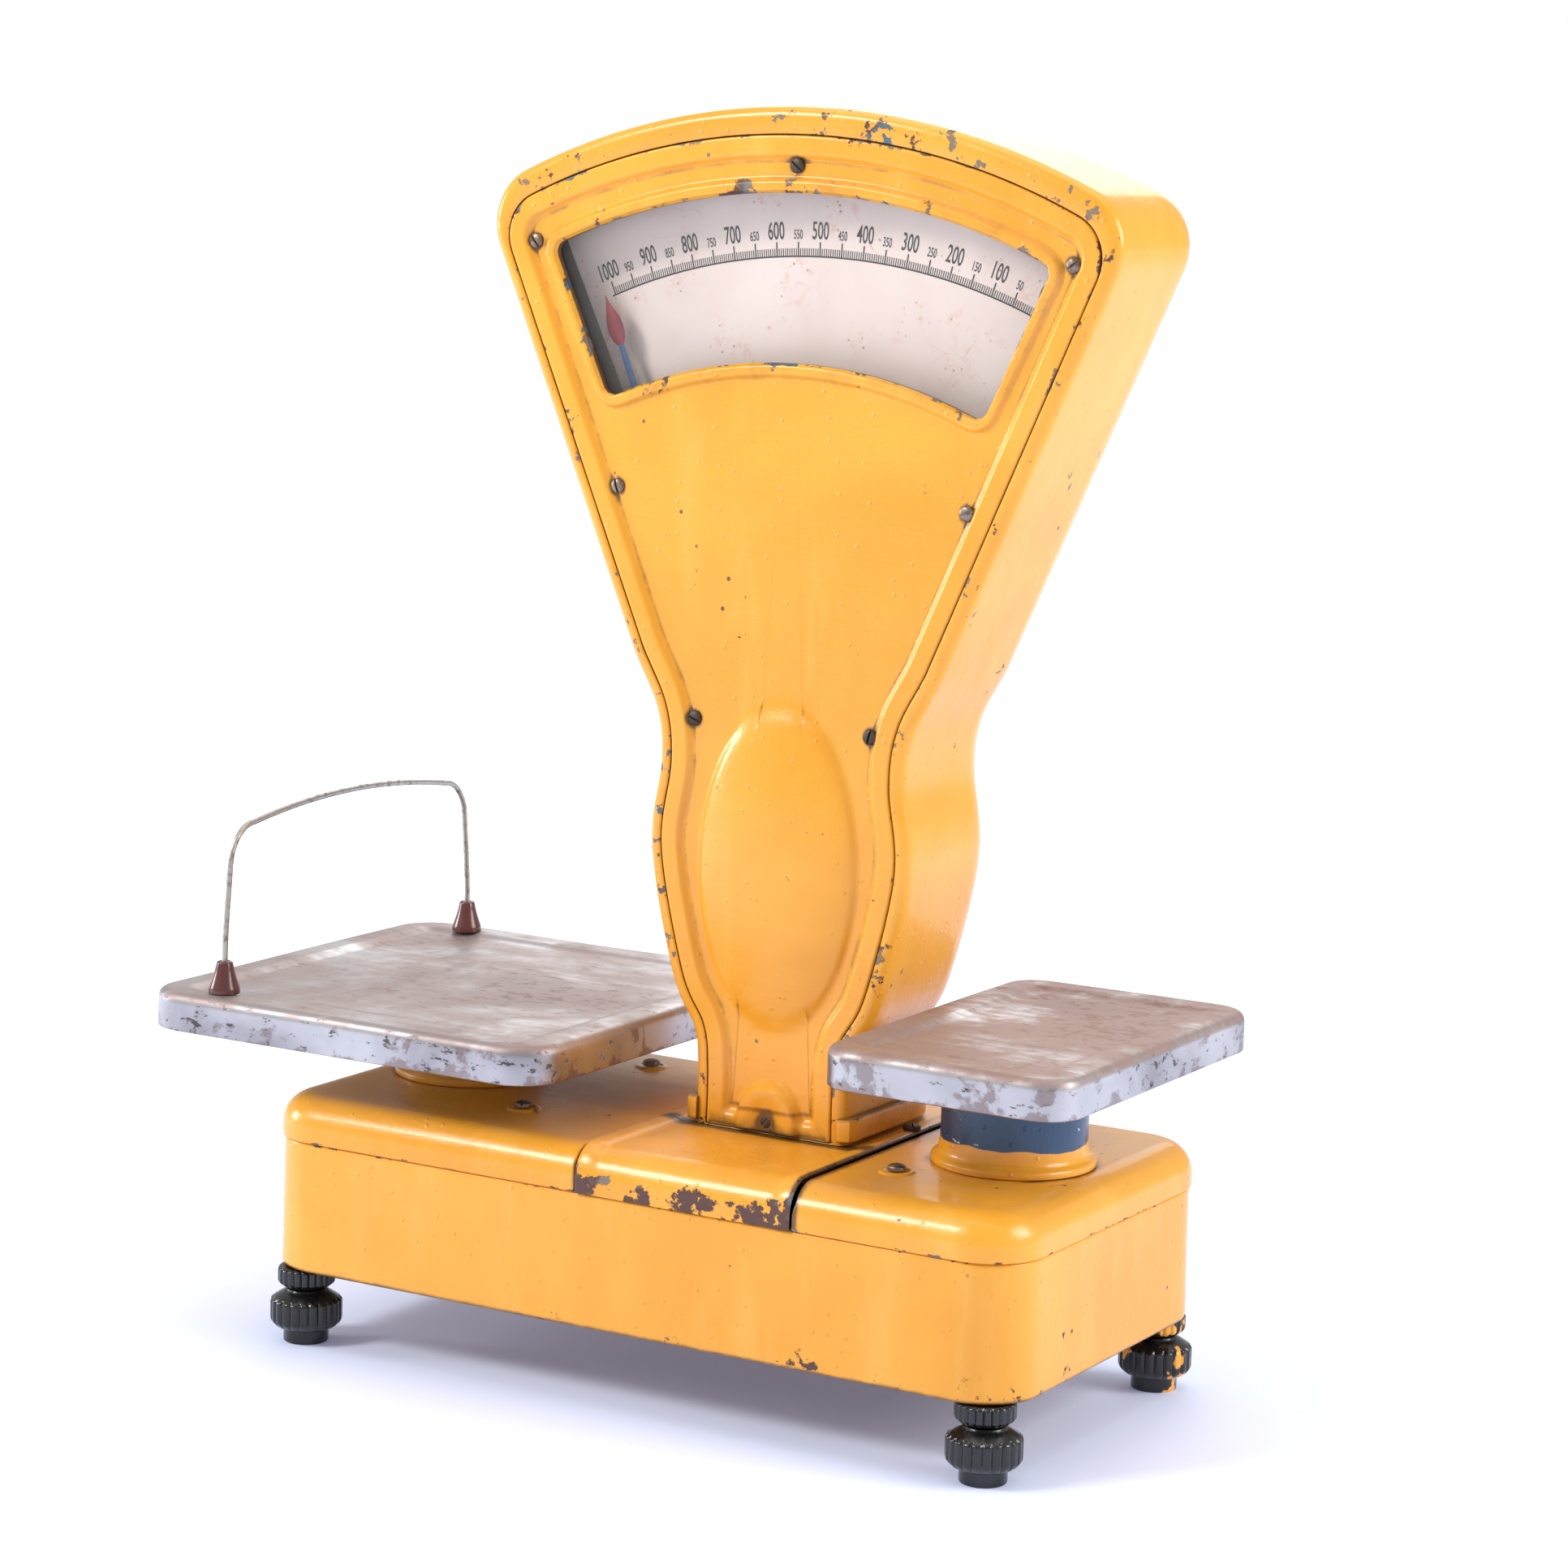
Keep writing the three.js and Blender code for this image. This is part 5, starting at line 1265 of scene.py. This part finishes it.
def slottedHead(name, centre, facing, turn, radius, rise, slot):
    # columns across the slot, each a chord of the disc: a shallow dome, lowered where the slot is, and a
    # flat underside; facing is -Y or +Z
    half = slot / 2
    edge = half + 0.03
    side = edge + (radius - edge) * np.sin(np.linspace(0, 1, 12) * np.pi / 2)
    across = np.concatenate([-side[::-1], [-half, -half * 0.4, half * 0.4, half], side])
    across = np.clip(across, -radius * 0.996, radius * 0.996)
    along = np.sin(np.linspace(-1, 1, 27) * np.pi / 2)
    chord = np.sqrt(radius**2 - across**2)[:, None] * along[None, :]
    far = np.hypot(across[:, None], chord) / radius
    dome = 0.35 * rise + 0.65 * rise * np.clip(1 - far**2.4, 0, 1) ** 0.55
    dome = np.where(np.abs(across)[:, None] <= half + 1e-6, np.minimum(dome, rise * 0.32), dome)
    wide = np.broadcast_to(across[:, None], chord.shape)
    upper = np.stack([wide, chord, dome], -1)
    under = np.stack([wide, chord, np.full_like(chord, -0.5)], -1)[:, ::-1]
    points = np.concatenate([upper, under], 1)
    spin = Matrix.Rotation(turn, 3, "Z")
    if facing == "front":
        spin = Matrix.Rotation(math.pi / 2, 3, "X") @ spin
    points = points @ np.array(spin).T + np.asarray(centre)
    return loopsPiece(name, points, sharp=30)


screwLook = {
    "cover": (3.9, 2.2, 1.1),
    "lid": (4.6, 2.6, 1.2),
    "coverTurns": (0.7, 2.2, 0.3, 1.9, 1.2, 2.9, 0.9, 2.5),
    "lidTurns": (0.4, 1.3, 2.1, 0.9),
}


def makeScrews():
    for i, turn in enumerate(screwLook["coverTurns"]):
        node = f"cover_screw_{i + 1}"
        lowest, highest = cornersOf(node)
        centre = (lowest + highest) / 2
        centre[1] = lowest[1] + screwLook["cover"][1] + 0.2
        piece = slottedHead(f"cover_screw_head_{i + 1}", centre, "front", turn, *screwLook["cover"])
        settle(piece, "oldScrew" if i > 3 else "screw", "housing", "plated_steel", node)
    for i, turn in enumerate(screwLook["lidTurns"]):
        node = f"lid_screw_{i + 1}"
        lowest, highest = cornersOf(node)
        centre = (lowest + highest) / 2
        centre[2] = highest[2] - screwLook["lid"][1]
        piece = slottedHead(f"lid_screw_head_{i + 1}", centre, "up", turn, *screwLook["lid"])
        settle(piece, "screw", "housing", "plated_steel", node)
        path = [(0, 0.4), (5.2, 0.4), (6.4, 1.2), (8.2, 1.2), (9.6, -0.2), (9.6, -1), (0, -1)]
        pad = fillet([(reach, lidTop + z) for reach, z in path], [0, 0.6, 0.8, 1.2, 0.4, 0, 0])
        spot = (centre[0] * mm, centre[1] * mm, 0)
        values = {"wear": lambda points: np.full(len(points), 0.4)}
        values["grimeAndShade"] = lambda points: np.full(len(points), 0.3)
        seat = turnedPiece(f"lid_screw_seat_{i + 1}", pad[::-1], spot, 48, values)
        settle(seat, "lids", "housing", "enamel")
    lowest, highest = cornersOf("centre_cover_screw")
    centre = (lowest + highest) / 2
    centre[2] = highest[2] - screwLook["lid"][1]
    piece = slottedHead("centre_cover_screw_head", centre, "up", 0.6, *screwLook["lid"])
    settle(piece, "oldScrew", "housing", "dark_steel", "centre_cover_screw")


makeScrews()
print("screws made")


dialShape = {
    "inner": 236.0,
    "outer": 350.0,
    "halfAngle": 25.6,
    "baseline": 310.2,
    "line": 0.8,
    "halfScale": 22.7,
    "grams": 1000,
    "shortTick": 3.6,
    "longTick": 6.8,
    "bigFigure": 8.6,
    "smallFigure": 4.6,
    "condense": 0.52,
}


def dialAngle(grams):
    # the scale runs from the full load at the left to nothing at the right
    return math.radians(dialShape["halfScale"]) * (2 * -grams / dialShape["grams"] + 1)


def flatPrisms(corners, face, depth, way):
    # quads of (x, z) corners as thin plates standing on a face; way is -1 towards the front
    corners = np.asarray(corners, float)
    count = len(corners)
    low = np.stack([corners[..., 0], np.full((count, 4), face), corners[..., 1]], -1)
    high = low + (0, way * depth, 0)
    points = np.concatenate([low, high], 1).reshape(-1, 3)
    first = 8 * np.arange(count)[:, None, None]
    sides = np.array([(3, 2, 1, 0), (4, 5, 6, 7), (0, 1, 5, 4), (1, 2, 6, 5), (2, 3, 7, 6), (3, 0, 4, 7)])
    return points, (first + sides).reshape(-1, 4)


def dialInk(name, face, way):
    s = dialShape
    quads = []

    def bar(angle, inner, outer, width):
        out = np.array([math.sin(angle), math.cos(angle)])
        across = np.array([out[1], -out[0]]) * width / 2
        near, far = out * inner, out * outer
        quads.append([near - across, near + across, far + across, far - across])

    steps = np.linspace(-s["halfScale"] - 0.35, s["halfScale"] + 0.35, 81)
    for start, end in zip(np.radians(steps[:-1]), np.radians(steps[1:])):
        a, b = (np.array([math.sin(angle), math.cos(angle)]) for angle in (start, end))
        inner, outer = s["baseline"] - s["line"], s["baseline"]
        quads.append([a * inner, b * inner, b * outer, a * outer])
    for grams in range(0, s["grams"] + 1, 5):
        long = grams % 50 == 0
        tick, width = (s["longTick"], 0.75) if long else (s["shortTick"], 0.5)
        bar(dialAngle(grams), s["baseline"] - 0.2, s["baseline"] + tick, width)
    quads = np.array(quads)
    if way > 0:
        quads[..., 0] *= -1
    points, faces = flatPrisms(quads, face, 0.12, way)
    points += (pivotX, 0, pivotZ)
    ink = meshPiece(name + "_ticks", points * mm, faces)
    settle(ink, "ink", "housing", "dial_enamel")
    for grams in range(0, s["grams"] + 1, 50):
        big = grams % 100 == 0
        size = s["bigFigure"] if big else s["smallFigure"]
        figures = bpy.data.curves.new("figures", "FONT")
        figures.body = str(grams)
        figures.align_x = "CENTER"
        figures.size = size / 0.69
        figures.extrude = 0.06
        figures.offset = 0.12 if big else 0.06
        figures.resolution_u = 3
        holder = bpy.data.objects.new("figures", figures)
        bpy.context.scene.collection.objects.link(holder)
        bpy.context.view_layer.update()
        mesh = bpy.data.meshes.new_from_object(holder)
        bpy.data.objects.remove(holder)
        angle = dialAngle(grams)
        reach = s["baseline"] + s["longTick"] + 1.4
        squeeze = Matrix.Diagonal((s["condense"], 1, 1, 1))
        stand = Matrix.Rotation(math.pi / 2, 4, "X")
        swing = Matrix.Rotation(angle, 4, "Y")
        lift = Matrix.Translation((0, 0, reach))
        around = Matrix.Rotation(math.pi if way > 0 else 0, 4, "Z")
        place = Matrix.Translation((pivotX, face + way * 0.06, pivotZ))
        mesh.transform(Matrix.Scale(mm, 4) @ place @ around @ swing @ lift @ stand @ squeeze)
        mesh.name = f"{name}_figure_{grams}"
        figure = bpy.data.objects.new(f"{name}_figure_{grams}", mesh)
        bpy.context.scene.collection.objects.link(figure)
        mesh.materials.clear()
        settle(figure, "ink", "housing", "dial_enamel")


def makeDial(name, node, way):
    # a ring sector about the shaft: two arcs and two ends, with a face and a back
    lowest, highest = cornersOf(node)
    inner, outer, half = dialShape["inner"], dialShape["outer"], math.radians(dialShape["halfAngle"])
    angle = np.linspace(-half, half, 90)
    radius = np.linspace(inner, outer, 12)
    across, reach = np.meshgrid(angle, radius, indexing="ij")
    x, z = pivotX + reach * np.sin(across), pivotZ + reach * np.cos(across)
    face = np.stack([x, np.full_like(across, lowest[1]), z], -1)
    back = face + (0, highest[1] - lowest[1], 0)
    points = np.concatenate([face, back[:, ::-1]], 1)
    plate = loopsPiece(name + "_plate", points)
    settle(plate, "dial", "housing", "dial_enamel", node)
    dialInk(name, lowest[1] if way < 0 else highest[1], way)


makeDial("front_dial", "front_dial", -1)
makeDial("rear_dial", "rear_dial", 1)

pointerShape = {
    "neck": 234.0,
    "arrow": 282.0,
    "tip": 309.6,
    "tail": -26.0,
    "hub": 11.0,
    "restTurn": -22.7,
}


def makePointer(name, node):
    # the needle is a tapering six-sided rod, and its head a leaf with a ridge along the middle
    s = pointerShape
    lowest, highest = cornersOf(node)
    middle = (lowest[1] + highest[1]) / 2
    tilt = math.radians(s["restTurn"])
    reach = np.array([s["tail"], s["tail"] + 2, -8, 20, 120, s["neck"], s["arrow"] - 2, s["arrow"] + 1])
    width = np.array([3.4, 5, 4, 3.2, 2.6, 2.1, 1.8, 1.6])
    depth = np.array([0.5, 0.6, 0.6, 0.6, 0.6, 0.6, 0.6, 0.55])
    turn = np.linspace(0, 2 * np.pi, 12, endpoint=False)
    leafReach = s["arrow"] + (s["tip"] - s["arrow"]) * np.linspace(0, 1, 15)
    t = np.linspace(0, 1, 15)
    leafWidth = 0.3 + 4.6 * np.sin(np.pi * t**0.7) ** 0.9 * (1 - t**4)
    leafDepth = 0.15 + 0.85 * np.sin(np.pi * t**0.62) * (1 - t**4)

    def rod(rows, half, thick):
        x = half[:, None] * np.cos(turn)
        y = thick[:, None] * np.sin(turn)
        z = np.broadcast_to(rows[:, None], x.shape)
        swungX = x * math.cos(tilt) + z * math.sin(tilt)
        swungZ = z * math.cos(tilt) - x * math.sin(tilt)
        return np.stack([swungX, y, swungZ], -1) + (pivotX, middle, pivotZ)

    needle = loopsPiece(name + "_needle", rod(reach, width, depth))
    settle(needle, "blue", "pointers", "pointer_paint", node)
    leaf = loopsPiece(name + "_arrow", rod(leafReach, leafWidth, leafDepth))
    settle(leaf, "red", "pointers", "pointer_paint")
    bore, thick = 2.9, 0.7
    path = [(bore, -thick), (s["hub"], -thick), (s["hub"], thick), (bore, thick), (bore, -thick)]
    path = fillet(path, [0, 0.4, 0.4, 0, 0], 3)
    hub = turnedPiece(name + "_hub", path, (0, 0, 0), 40)
    shaft = Matrix.Translation((pivotX * mm, middle * mm, pivotZ * mm))
    hub.data.transform(shaft @ Matrix.Rotation(math.pi / 2, 4, "X"))
    settle(hub, "blue", "pointers", "pointer_paint")


makePointer("front_pointer", "front_pointer")
makePointer("rear_pointer", "rear_pointer")
print("dials and pointers made")


nodesOfFinish = {
    "glass": ["front_glass", "rear_glass"],
    "casting": [
        "fulcrum_stand", "dial_bracket", "main_beam", "check_lever", "goods_carrier", "weights_carrier",
    ],
    "screw": [
        "damper_cylinder", "connecting_link", "damper_piston", "pointer_shaft",
        "front_left_foot_stud", "front_right_foot_stud", "back_left_foot_stud", "back_right_foot_stud",
    ],
    "oldScrew": ["counterweight_quadrant"],
}
for finish, nodes in nodesOfFinish.items():
    for node in nodes:
        mesh = frame["nodes"][node].data
        mesh.materials.clear()
        mesh.materials.append(paints[finish])
